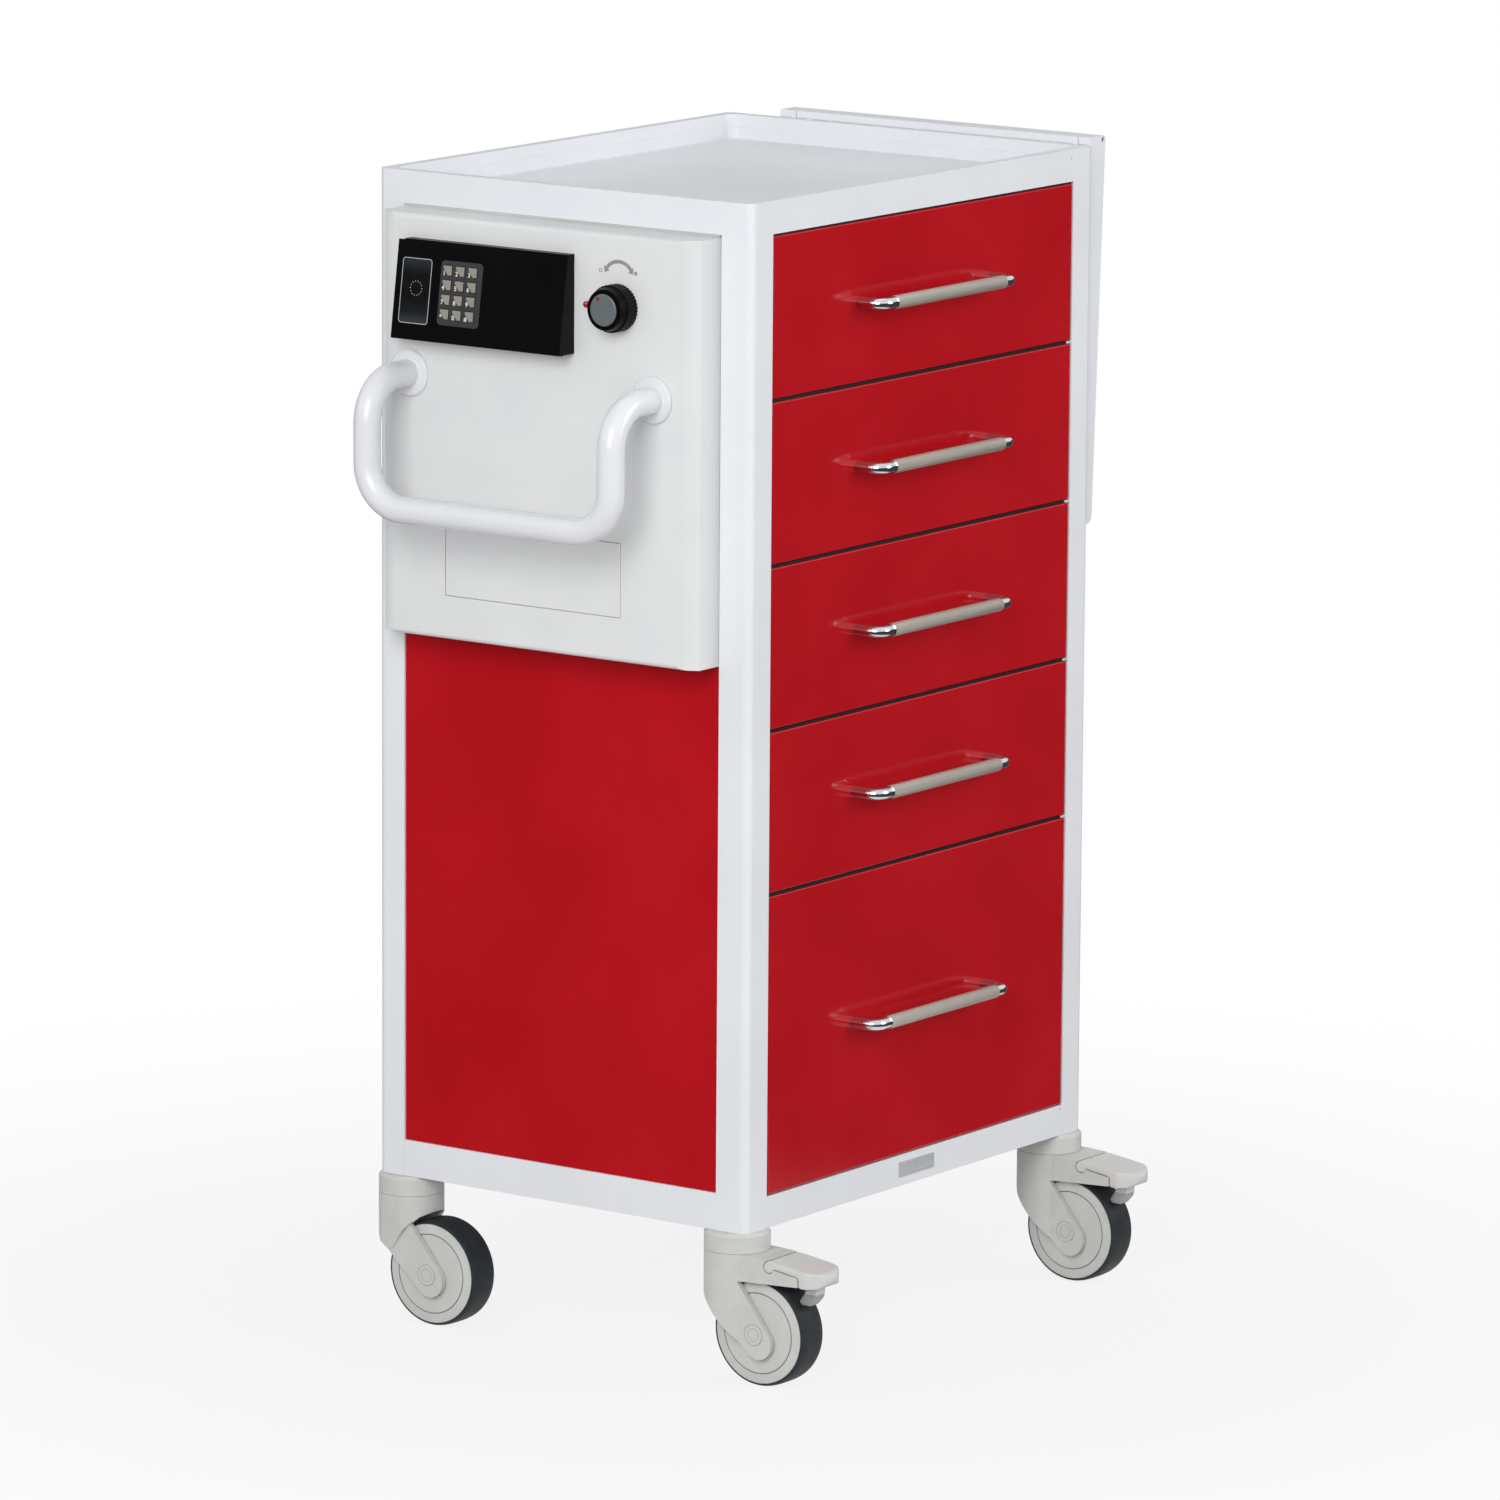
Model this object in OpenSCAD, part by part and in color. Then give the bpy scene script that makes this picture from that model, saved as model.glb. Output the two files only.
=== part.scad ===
// Hospital crash cart: a five-drawer cabinet on four swivel casters, with a tray top,
// a lock housing and a push handle on its left side and a drop-leaf table on its right.
// Millimetres, +Z up, drawers face -Y. The floor is z = 0 and the origin is the middle
// of the bounding box on the floor. Inside on_cart() the numbers are cabinet coordinates:
// x from the left face, y from the front face, z from the underside of the cabinet.

/* [Cabinet] */
// Width of the cabinet
body_w = 544; // [480:1:640]
// Depth of the cabinet
body_d = 420; // [400:1:500]
// Radius of the four upright corners
corner_r = 8; // [4:1:10]
// Width of a corner post along the front
post_w = 33; // [33:1:40]
// Depth of a front corner post along the side
post_d = 33; // [30:1:38]
// Depth of a rear corner post along the side
rear_post_d = 30; // [28:1:38]
// Wall of a corner post
post_wall = 2; // [1.5:0.5:4]
// Height of the bottom rail under the drawers
front_rail_h = 29; // [24:1:40]
// Height of the bottom rails at the sides
side_rail_h = 34; // [30:1:40]
// Thickness of the sheet-metal panels
sheet_t = 1.5; // [1:0.1:2]
// How far the side and back panels sit behind the posts
panel_recess = 2; // [1:0.5:4]
// Depth of the folded edge round each panel
panel_fold = 12; // [8:1:16]

/* [Tray top] */
// Height of the tray's outer skirt
tray_h = 30; // [26:1:40]
// Depth of the tray's well
tray_depth = 23; // [15:1:24]
// Width of the tray's rim
rim_w = 12; // [8:1:16]
// Ledge half way down the inside of the rim
rim_step = 1.5; // [0.5:0.5:3]
// Radius of the well's corners
well_r = 10; // [4:1:20]
// Thickness of the tray's sheet
tray_wall = 2; // [1.5:0.5:3]

/* [Drawers] */
// Number of shallow drawers over the deep one
shallow_drawers = 4; // [1:1:4]
// Height that a shallow drawer takes in the front
drawer_h = 150; // [140:1:170]
// Height that the deep drawer takes in the front
deep_drawer_h = 279; // [250:1:320]
// Gap above each drawer front
front_gap_top = 2; // [1:0.5:3]
// Gap below each drawer front
front_gap_low = 1; // [0.5:0.5:2]
// Gap beside each drawer front
front_gap_side = 1.2; // [0.8:0.1:2]
// Thickness of a drawer front
front_t = 18; // [12:1:24]
// How far the drawer fronts sit behind the posts
front_recess = 0.5; // [0:0.1:2]
// Radius of the edges of a drawer front
front_edge_r = 2; // [1:0.5:4]
// Thickness of a drawer front's sheet
front_wall = 1.5; // [1:0.1:3]
// Wall of a drawer box
box_wall = 1.5; // [1:0.5:4]
// Depth of a shallow drawer box
box_h = 112; // [112:1:120]
// Depth of the deep drawer box
deep_box_h = 238; // [150:1:240]
// Room between the drawer boxes and the back of the cabinet
back_room = 29.5; // [26:0.5:30]
// Height of a drawer box's floor over the underside of its front
box_lift = 12; // [6:1:20]
// Radius of the inside corners of a drawer box
box_r = 12; // [4:1:20]
// How far a drawer pulls out
drawer_travel = 340; // [200:1:345]

/* [Drawer runners] */
// Width of the space that a telescopic runner takes beside the box
runner_t = 13; // [12.5:0.1:16]
// Height of the outer rail of a runner
runner_h = 45; // [45:1:50]
// How much shorter than the drawer box the outer rail is
runner_short = 2; // [2:1:20]
// How much shorter than the drawer box the middle and inner rails are
slide_short = 20; // [16:1:32]
// Thickness of the rail steel
rail_t = 1.2; // [1:0.1:1.5]
// Height of the runner's centre line over the underside of the drawer front
runner_lift = 50; // [46:1:54]
// Running gap of the rails on their ball cages
cage_gap = 0.3; // [0.2:0.05:0.4]

/* [Drawer handles] */
// Distance between the two feet of a drawer handle
handle_span = 210; // [120:1:260]
// Distance from the drawer front to the middle of the handle's bar
handle_reach = 26; // [22:1:34]
// Radius of the handle's rod
handle_r = 5.25; // [4:0.25:6]
// Bend radius of the handle
handle_bend = 11; // [8:1:16]
// Length of the grip sleeve
grip_l = 174; // [60:1:176]
// Radius of the grip sleeve
grip_r = 5.9; // [5.5:0.1:8]

/* [Lock housing] */
// Height of the moulded housing
housing_h = 387; // [360:1:400]
// Gap between the housing and the rail over it
housing_gap = 2.5; // [0.5:0.1:3]
// How far the housing stands out from the cabinet
housing_out = 39; // [36:1:50]
// Wall of the housing
housing_wall = 3; // [2:0.5:4]
// Width of the bevel along each upright edge of the housing
bevel_w = 18; // [10:1:24]
// Depth of that bevel
bevel_out = 10; // [4:1:14]
// Radius of the housing's upper and lower edges
housing_edge_r = 5; // [2:1:8]
// Service cover: distance from the front of the cabinet
cover_y = 115; // [100:1:150]
// Service cover: distance from the back of the cabinet
cover_end = 108; // [95:1:185]
// Service cover: height
cover_h = 67; // [40:1:70]
// Service cover: height of its lower edge over the housing's
cover_lift = 41; // [30:1:50]
// Seam round the service cover
cover_seam = 0.8; // [0.4:0.1:1.5]
// Thickness of the service cover
cover_t = 2; // [1.5:0.1:2.4]

/* [Electronic lock] */
// Distance from the back of the cabinet to the far end of the lock case
case_end = 62; // [61:1:83]
// Height of the lock case
case_h = 90; // [80:1:92]
// Thickness of the case along its upper edge
case_t_top = 9.6; // [8:0.1:14]
// Thickness of the case along its lower edge
case_t_low = 22.5; // [16:0.1:24]
// Height of the case's lower edge over the housing's
case_lift = 275.5; // [270:0.5:280]
// Distance from the front of the cabinet to the near end of the case
case_y = 167; // [160:1:167]
// Thickness of the case's front cover
case_cover_t = 6; // [4:0.5:7]
// How far the front cover hangs over the case at its far end
case_lip = 7; // [3:1:8]
// Size of the card reader's window, along and up
reader_size = [33, 59];
// Size of the keypad, along and up
keypad_size = [47, 58.5];
// Depth of the pockets of the window and the keypad
pocket_d = 1.2; // [0.8:0.1:2]
// Radius of the knob at its foot
knob_r = 21.5; // [18:0.5:23]
// Radius of the knob at its face
knob_face_r = 18.5; // [16:0.5:20]
// Height of the knob
knob_h = 23; // [18:1:26]
// Number of grip flutes round the knob
knob_flutes = 40; // [16:1:44]
// Radius of the knob's grey cap
knob_cap_r = 14.5; // [12:0.5:15]
// Distance from the front of the cabinet to the knob's axis
knob_y = 117.6; // [100:0.1:130]
// Height of the knob's axis over the housing's lower edge
knob_lift = 321.5; // [315:0.5:330]
// Angle that the knob turns through
knob_turn = 60; // [40:1:70]
// Radius of the knob's shaft
shaft_r = 4; // [3:0.5:5]
// Radius at which the crank pin drives the lock bar
crank_r = 10; // [9:0.5:12]
// Radius of the crank pin
crank_pin_r = 2.5; // [2:0.5:3]

/* [Push handle] */
// Distance from the front of the cabinet to the near leg of the push handle
push_front = 79; // [75:1:96]
// Distance from the back of the cabinet to its far leg
push_end = 67; // [59:1:84]
// Distance from the housing to the middle of the upright legs
push_out = 63; // [60:1:90]
// Drop from the flanges to the middle of the bar
push_drop = 114.5; // [95:0.5:140]
// Radius of the tube
push_r = 12.5; // [10:0.5:14]
// Bend radius of the tube
push_bend = 40; // [30:1:44]
// Radius of a flange
flange_r = 21.5; // [18:0.5:24]
// Thickness of a flange
flange_t = 4; // [3:0.5:6]
// Height of the flanges over the housing's lower edge
flange_lift = 241.5; // [230:0.5:246]

/* [Drop-leaf table] */
// Width of the leaf, front to back
table_w = 354; // [300:1:360]
// Length of the leaf
table_l = 365; // [320:1:380]
// Distance from the front of the cabinet to the leaf
table_y = 6; // [4:1:20]
// Depth of the leaf's skirt at the hinge
table_t_hinge = 28; // [26:1:34]
// Depth of the leaf's skirt at the free end
table_t_end = 13; // [13:1:16]
// Height of the hanging leaf's upper edge over the tray's rim
table_rise = 7; // [6:0.5:9]
// Thickness of the leaf's sheet
table_sheet = 2; // [1.5:0.1:2.2]
// Gap between the leaf's skirts and the cabinet
table_gap = 0.6; // [0.4:0.1:1]
// Radius of the hinge knuckles
knuckle_r = 4; // [4:0.1:4.5]
// Radius of the hinge pins
hinge_pin_r = 2.5; // [2:0.1:2.5]
// Width of a hinge ear
ear_w = 6; // [4:0.5:8]
// Radius of the stay's rod
stay_r = 4; // [3.5:0.1:4]
// Distance from the stay's pivot to its far bar
stay_l = 170; // [165:1:175]
// Distance from each edge of the leaf to a leg of the stay
stay_margin = 57; // [52:1:87]
// Gap between the raised stay and the leaf that lies on it
stay_clear = 0.5; // [0.3:0.1:1]
// Bend radius of the stay
stay_bend = 16; // [10:1:24]

/* [Casters] */
// Height of the cabinet's underside over the floor
caster_h = 140; // [140:1:150]
// Distance from a swivel axis to the cabinet's side
caster_inset_x = 20; // [18:0.5:22]
// Distance from a swivel axis to the cabinet's front or back
caster_inset_y = 23; // [21:0.5:24]
// Radius of the wheel
wheel_r = 50; // [45:1:50]
// Width of the wheel
wheel_w = 35; // [32:1:35]
// Distance from the swivel axis to the axle
trail = 36; // [34:1:38]
// Radius of the caster's head
head_r = 30.5; // [30:0.5:32]
// Height of the cap ring over the head
cap_h = 18; // [16:1:19]
// Radius of the swivel stem
stem_r = 6; // [5:0.5:6]
// Radius of the axle
axle_r = 4; // [3:0.5:5]
// Width of a fork across its arms
fork_w = 48; // [46:0.5:50]
// Gap between the wheel and each arm
fork_gap = 1.2; // [0.8:0.1:1.5]
// Distance from the swivel axis to the tip of a brake pedal
pedal_tip = 107; // [100:1:112]
// Angle that a brake pedal lifts through
pedal_lift = 12; // [8:1:14]

/* [Fits] */
// Radial clearance of a pin or shaft that turns in its hole
run_clear = 0.05; // [0.02:0.01:0.1]
// Gap between pieces that slide past each other
slide_clear = 0.4; // [0.3:0.05:0.6]

/* [Hidden] */
$fn = 64;
eps = 0.01;
white = [0.86, 0.87, 0.89];
warm_white = [0.90, 0.90, 0.87];
cart_red = [0.68, 0.09, 0.12];
caster_grey = [0.78, 0.79, 0.76];
tyre_blue = [0.22, 0.25, 0.28];
zinc = [0.70, 0.71, 0.72];
chrome = [0.82, 0.83, 0.85];
near_black = [0.06, 0.06, 0.06];

drawers = shallow_drawers + 1;
drawers_h = shallow_drawers * drawer_h + deep_drawer_h;
tray_z = front_rail_h + drawers_h;
body_h = tray_z + tray_h;
box_l = body_d - front_recess - front_t - back_room;
runner_l = box_l - runner_short;
slide_l = box_l - slide_short;
inner_w = body_w - 2 * post_w;
side_y = post_d;
side_w = body_d - post_d - rear_post_d;
side_h = tray_z - side_rail_h;

// Housing: its back lies on the left panel and its face at -housing_out
housing_top = tray_z - housing_gap;
housing_z = housing_top - housing_h;
housing_side_gap = 0.6;
housing_y = side_y + housing_side_gap;
housing_w = side_w - 2 * housing_side_gap;
housing_depth = housing_out + panel_recess;
cover_z = housing_z + cover_lift;
cover_w = body_d - cover_y - cover_end;
case_w = body_d - case_y - case_end;
case_z = housing_z + case_lift;
case_lean = atan((case_t_low - case_t_top) / case_h);
case_face_h = case_h / cos(case_lean);
reader_at = [case_w - 7 - reader_size[0] / 2, case_face_h / 2 - 1];
keypad_at = [reader_at[0] - reader_size[0] / 2 - 11 - keypad_size[0] / 2, case_face_h / 2];
knob_z = housing_z + knob_lift;
lamp_y = knob_y + 35;
knob_skirt_h = 0.6 * knob_h;
lamp_r = 3;

// Lock bar: a flat bar in the left wall, raised by the crank pin of the knob's shaft
bar_t = 3;
bar_w = 22;
bar_x = 20.5;
bar_low = front_rail_h + 20;
bar_top = knob_z + 30;
bar_y = knob_y + crank_r * (1 + cos(knob_turn / 2)) / 2;
bar_lift = 2 * crank_r * sin(knob_turn / 2);
liner_x = post_w - sheet_t;
finger_h = 5;
finger_d = 8;
finger_reach = 4;
catch_d = 8;
catch_h = 8;
rivet_gap = 0.05;
catch_gap = 3;
catch_in = 0.9;
finger_lift = runner_lift + runner_h / 2 + 10;

// Push handle
flange_z = housing_z + flange_lift;
push_x = -housing_out - push_out;
push_span = body_d - push_front - push_end;
push_y = push_front + push_span / 2;

// Drop-leaf table: the outer skin is tangent to the hinge knuckle and to the end's round
table_top = body_h + table_rise;
table_low = table_top - table_l;
table_in = body_w + table_gap;
pivot_x = body_w + table_t_hinge - knuckle_r;
pivot_z = table_top - knuckle_r;
end_r = 8;
end_x = body_w + table_t_end - end_r;
end_z = table_low + end_r;
knuckle_l = 10;
ear_gap = 0.5;
stay_x = body_w + stay_r + 2;
stay_z = pivot_z + knuckle_r - table_sheet - stay_r - stay_clear - stay_l * cos(45);
stay_span = table_w - 2 * stay_margin;
stay_y = table_y + table_w / 2;
stay_end_l = 12;
lug_w = 6;

// Casters, drawn round their swivel axis: t runs from the axis towards the wheel
axle_z = wheel_r - caster_h;
head_z = -cap_h - 0.3;
socket_h = 24;
arm_root = [-6, -55];
arm_root_r = head_r - 5;
arm_tip = [trail + 4, axle_z - 8];
arm_tip_r = 15;
wheel_room = wheel_r + 4;
slot_w = wheel_w + 2 * fork_gap;
pedal_at = [52, -25.2];
pedal_knuckle_r = 5.7;
fender_end = 84;
corners = [[0, 0], [1, 0], [0, 1], [1, 1]];

// Place of the cabinet in the frame
reach_left = housing_out + push_out + push_r;
reach_right = max(table_t_hinge, head_r - caster_inset_x);
reach_front = max(pedal_tip - caster_inset_y, handle_reach + grip_r);
reach_back = head_r - caster_inset_y;
cart_x = (reach_left - reach_right - body_w) / 2;
cart_y = (reach_front - reach_back - body_d) / 2;

drawer_list = [for (i = [1:drawers]) i];

// Helpers

module on_cart() translate([cart_x, cart_y, caster_h]) children();

// Extrudes a profile drawn in (y, z) along +X
module along_x(length) rotate([90, 0, 90]) linear_extrude(length) children();

// Extrudes a profile drawn in (x, z) along +Y
module along_y(length) translate([0, length, 0]) rotate([90, 0, 0]) linear_extrude(length) children();

module rounded_rect(size, r) {
    translate([r, 0]) square([size[0] - 2 * r, size[1]]);
    translate([0, r]) square([size[0], size[1] - 2 * r]);
    for (x = [r, size[0] - r], y = [r, size[1] - r]) translate([x, y]) circle(r);
}

// The area round two circles with their outer tangents: the circles lie at p and q.
// The tangents end just inside the circles, so that the outline closes cleanly.
module tapered_bar(p, p_r, q, q_r) {
    inside = 0.02;
    d = q - p;
    len = norm(d);
    base = atan2(d[1], d[0]);
    lean = acos((p_r - q_r) / len);
    up = [cos(base + lean), sin(base + lean)];
    down = [cos(base - lean), sin(base - lean)];
    polygon([p, p + (p_r - inside) * down, q + (q_r - inside) * down, q,
             q + (q_r - inside) * up, p + (p_r - inside) * up]);
    translate(p) circle(p_r);
    translate(q) circle(q_r);
}

// A rod bent to a U in the XY plane: two legs from y = 0 towards -Y and a bar along X
module bail(span, reach, rod_r, bend_r) {
    for (side = [-1, 1]) {
        translate([side * span / 2, 0, 0]) rotate([90, 0, 0]) cylinder(h = reach - bend_r, r = rod_r);
        translate([side * (span / 2 - bend_r), -(reach - bend_r), 0])
            rotate([0, 0, side > 0 ? -90 : 180])
                rotate_extrude(angle = 90) translate([bend_r, 0]) circle(rod_r);
    }
    translate([-(span / 2 - bend_r), -reach, 0]) rotate([0, 90, 0])
        cylinder(h = span - 2 * bend_r, r = rod_r);
}

// Cabinet

module corner_posts() color(white) on_cart()
    for (c = corners) translate([c[0] * body_w, c[1] * body_d, 0])
        mirror([c[0], 0, 0]) mirror([0, c[1], 0]) difference() {
            d = c[1] == 0 ? post_d : rear_post_d;
            union() {
                difference() {
                    linear_extrude(tray_z) post_section(0, d);
                    translate([0, 0, -eps]) linear_extrude(tray_z - post_wall + eps)
                        post_section(post_wall, d);
                }
                translate([post_wall - eps, caster_inset_y - 12, 0])
                    cube([post_w - 2 * post_wall + 2 * eps, 17, socket_h]);
            }
            translate([caster_inset_x, caster_inset_y, -eps]) cylinder(h = socket_h + 1, r = stem_r);
        }

// The post's outline with its outer corner rounded, drawn in by the given wall
module post_section(wall, d) {
    r = max(corner_r - wall, 1);
    translate([wall, wall + r]) square([post_w - 2 * wall, d - 2 * wall - r]);
    translate([wall + r, wall]) square([post_w - 2 * wall - r, d - 2 * wall]);
    translate([wall + r, wall + r]) circle(r);
}

module bottom_rails() color(white) on_cart() {
    rail_t_wall = 2;
    for (y = [0, body_d - 24]) translate([post_w, y, 0]) difference() {
        cube([inner_w, 24, front_rail_h]);
        translate([-eps, rail_t_wall, -eps])
            cube([inner_w + 2 * eps, 24 - 2 * rail_t_wall, front_rail_h - rail_t_wall]);
    }
    for (x = [0, body_w - 24]) translate([x, side_y, 0]) difference() {
        cube([24, side_w, side_rail_h]);
        translate([rail_t_wall, -eps, -eps])
            cube([24 - 2 * rail_t_wall, side_w + 2 * eps, side_rail_h - rail_t_wall]);
    }
}

module top_tray() color(white) on_cart() translate([0, 0, tray_z]) difference() {
    linear_extrude(tray_h) rounded_rect([body_w, body_d], corner_r);
    translate([rim_w, rim_w, tray_h - tray_depth])
        linear_extrude(tray_depth + eps)
            rounded_rect([body_w - 2 * rim_w, body_d - 2 * rim_w], well_r);
    translate([rim_w - rim_step, rim_w - rim_step, tray_h - tray_depth / 2])
        linear_extrude(tray_depth)
            rounded_rect([body_w - 2 * (rim_w - rim_step), body_d - 2 * (rim_w - rim_step)],
                         well_r + rim_step);
    translate([rim_w, rim_w, -eps]) linear_extrude(tray_h - tray_depth - tray_wall + eps)
        rounded_rect([body_w - 2 * rim_w, body_d - 2 * rim_w], well_r);
    translate([0, 0, -eps]) linear_extrude(tray_h - tray_wall + eps) difference() {
        inset_rect(tray_wall);
        inset_rect(rim_w - rim_step - tray_wall);
    }
}

// The cabinet's plan drawn in by the given distance
module inset_rect(inset) translate([inset, inset])
    rounded_rect([body_w - 2 * inset, body_d - 2 * inset], max(corner_r - inset, 1));

// A sheet panel w by h in the YZ plane, face at x = 0, with its edges folded towards +X
module folded_panel(w, h) difference() {
    cube([panel_fold, w, h]);
    translate([sheet_t, sheet_t, sheet_t]) cube([panel_fold, w - 2 * sheet_t, h - 2 * sheet_t]);
}

module left_panel() color(cart_red) on_cart() difference() {
    translate([panel_recess, side_y, side_rail_h]) folded_panel(side_w, side_h);
    translate([0, knob_y, knob_z]) rotate([0, 90, 0]) cylinder(h = panel_fold, r = crank_r + 4);
}

module right_panel() color(cart_red) on_cart()
    translate([body_w - panel_recess, side_y, side_rail_h]) mirror([1, 0, 0])
        folded_panel(side_w, side_h);

module back_panel() color(white) on_cart()
    translate([post_w, body_d - panel_recess, front_rail_h]) rotate([0, 0, -90])
        folded_panel(inner_w, drawers_h);

module base_pan() color(zinc) on_cart() {
    pan_z = front_rail_h - 12;
    translate([24, 24, pan_z]) difference() {
        cube([body_w - 48, body_d - 48, sheet_t]);
        for (c = corners) translate([c[0] * (body_w - 48), c[1] * (body_d - 48), -eps])
            mirror([c[0], 0, 0]) mirror([0, c[1], 0])
                translate([-1, -1, 0]) cube([post_w - 23, post_d - 23, sheet_t + 1]);
    }
}

// Inner side liners, which carry the runners, with slots for the lock fingers on the left
module side_liners() color(zinc) on_cart() {
    difference() {
        translate([liner_x, side_y, side_rail_h]) cube([sheet_t, side_w, side_h]);
        for (i = drawer_list)
            translate([liner_x - 1, bar_y - finger_d / 2 - 1, finger_z(i) - finger_h / 2 - 1.5])
                cube([sheet_t + 2, finger_d + 2, finger_h + bar_lift + 3]);
    }
    translate([body_w - post_w, side_y, side_rail_h]) cube([sheet_t, side_w, side_h]);
    for (z = [bar_low + 100, knob_z - 60]) bar_guide(z);
}

// Guide block on the liner, round the lock bar
module bar_guide(z) difference() {
    translate([bar_x - 4, bar_y - bar_w / 2 - 5, z]) cube([liner_x - bar_x + 4, bar_w + 10, 16]);
    translate([bar_x - slide_clear, bar_y - bar_w / 2 - slide_clear, z - 1])
        cube([bar_t + 2 * slide_clear, bar_w + 2 * slide_clear, 18]);
}

// Drawers: drawer 1 is the top one and the last is the deep one

function pitch(i) = i == drawers ? deep_drawer_h : drawer_h;
function drawer_z(i) = tray_z - min(i, shallow_drawers) * drawer_h - (i == drawers ? deep_drawer_h : 0);
function front_h(i) = pitch(i) - front_gap_top - front_gap_low;
function box_height(i) = i == drawers ? deep_box_h : box_h;
function runner_z(i) = drawer_z(i) + front_gap_low + runner_lift;
function finger_z(i) = drawer_z(i) + front_gap_low + finger_lift;

box_w = inner_w - 2 * runner_t;
box_x = post_w + runner_t;
box_y = front_recess + front_t;

// Folded front: hollow, with a window in its back that the drawer box covers
module drawer_front(i) color(cart_red) on_cart()
    translate([post_w + front_gap_side, front_recess, drawer_z(i) + front_gap_low]) {
        w = inner_w - 2 * front_gap_side;
        fold = runner_t + front_wall + 4;
        difference() {
            front_slab(w, front_h(i));
            translate([front_wall, front_wall, front_wall])
                cube([w - 2 * front_wall, front_t - 2 * front_wall, front_h(i) - 2 * front_wall]);
            translate([fold, front_t / 2, box_lift + 4])
                cube([w - 2 * fold, front_t, box_height(i) - 8]);
        }
    }

// The front's slab: its outer edges are rounded by crossing two profiles
module front_slab(w, h) intersection() {
    along_x(w) front_profile(h);
    linear_extrude(h) mirror_xy() front_profile(w);
}

module mirror_xy() multmatrix([[0, 1, 0, 0], [1, 0, 0, 0], [0, 0, 1, 0], [0, 0, 0, 1]]) children();

// Section of a front: x is its depth and y its length, rounded along the outer face
module front_profile(length) {
    r = front_edge_r;
    translate([r, 0]) square([front_t - r, length]);
    translate([0, r]) square([r, length - 2 * r]);
    for (y = [r, length - r]) translate([r, y]) circle(r);
}

// Drawer box with its inner rails, and the catch block riveted to its left side
module drawer_box(i) color(zinc) on_cart() {
    h = box_height(i);
    z = drawer_z(i) + front_gap_low + box_lift;
    translate([box_x, box_y, z]) difference() {
        cube([box_w, box_l, h]);
        translate([box_wall, box_wall, box_wall]) linear_extrude(h)
            rounded_rect([box_w - 2 * box_wall, box_l - 2 * box_wall], box_r);
    }
    for (side = [0, 1]) translate([side * body_w, 0, runner_z(i)]) mirror([side, 0, 0])
        inner_rail();
    translate([post_w + catch_in, bar_y + finger_d / 2 + 1, finger_z(i) + finger_h / 2 + catch_gap])
        cube([runner_t - catch_in - rivet_gap, catch_d, catch_h]);
}

// Rail sections, drawn at the left-hand runner: x from the post's inner face, z from the middle

outer_half = runner_h / 2;
middle_half = outer_half - rail_t - 3.3;
inner_half = middle_half - rail_t - 3.6;

module channel(half, x_web, x_lip, y, length) translate([post_w, y, 0]) difference() {
    translate([min(x_web, x_lip), 0, -half]) cube([abs(x_lip - x_web), length, 2 * half]);
    translate([x_web < x_lip ? x_web + rail_t : x_lip - 1, -1, -half + rail_t])
        cube([abs(x_lip - x_web) - rail_t + 1, length + 2, 2 * (half - rail_t)]);
}

module outer_runners() color(zinc) on_cart()
    for (i = drawer_list, side = [0, 1])
        translate([side * body_w, 0, runner_z(i)]) mirror([side, 0, 0])
            channel(outer_half, 0, 11, box_y + 1.5, runner_l);

module middle_runner(i) color(zinc) on_cart()
    for (side = [0, 1]) translate([side * body_w, 0, runner_z(i)]) mirror([side, 0, 0]) {
        channel(middle_half, 2.2, 10.4, box_y + 2, slide_l);
        for (s = [-1, 1]) ball_cage(s, middle_half, outer_half - rail_t - cage_gap);
    }

module inner_rail() {
    channel(inner_half, runner_t, 4.4, box_y + 1, slide_l);
    for (s = [-1, 1]) ball_cage(s, inner_half, middle_half - rail_t - cage_gap);
}

// Strip of balls in their cage, between the z values lo and hi over or under a rail
module ball_cage(s, lo, hi)
    translate([post_w + 5, box_y + 20, s > 0 ? lo : -hi]) cube([4.6, slide_l - 60, hi - lo]);

module drawer_handle(i) color(chrome) on_cart()
    translate([body_w / 2, front_recess, drawer_z(i) + front_gap_low + front_h(i) / 2]) {
        bail(handle_span, handle_reach, handle_r, handle_bend);
        translate([-grip_l / 2, -handle_reach, 0]) rotate([0, 90, 0]) difference() {
            cylinder(h = grip_l, r = grip_r);
            translate([0, 0, -1]) cylinder(h = grip_l + 2, r = handle_r);
        }
    }

// Lock housing

// Plan of the housing, drawn in by the given wall: x from the panel outwards to -X
module housing_plan(wall) {
    w = housing_w - wall;
    out = housing_depth - wall;
    polygon([[wall == 0 ? 0 : 1, wall], [-(out - bevel_out), wall], [-out, wall + bevel_w],
             [-out, w - bevel_w], [-(out - bevel_out), w], [wall == 0 ? 0 : 1, w]]);
}

// Side view of the housing, drawn in by the given wall, with round outer edges
module housing_side(wall) {
    r = housing_edge_r;
    out = housing_depth - wall;
    translate([-out + r, wall]) square([out - r + (wall == 0 ? 0 : 1), housing_h - 2 * wall]);
    translate([-out, wall + r]) square([out, housing_h - 2 * wall - 2 * r]);
    for (z = [wall + r, housing_h - wall - r]) translate([-out + r, z]) circle(r);
}

module housing_solid(wall) translate([panel_recess, housing_y, housing_z]) intersection() {
    linear_extrude(housing_h) housing_plan(wall);
    along_y(housing_w) housing_side(wall);
}

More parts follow.
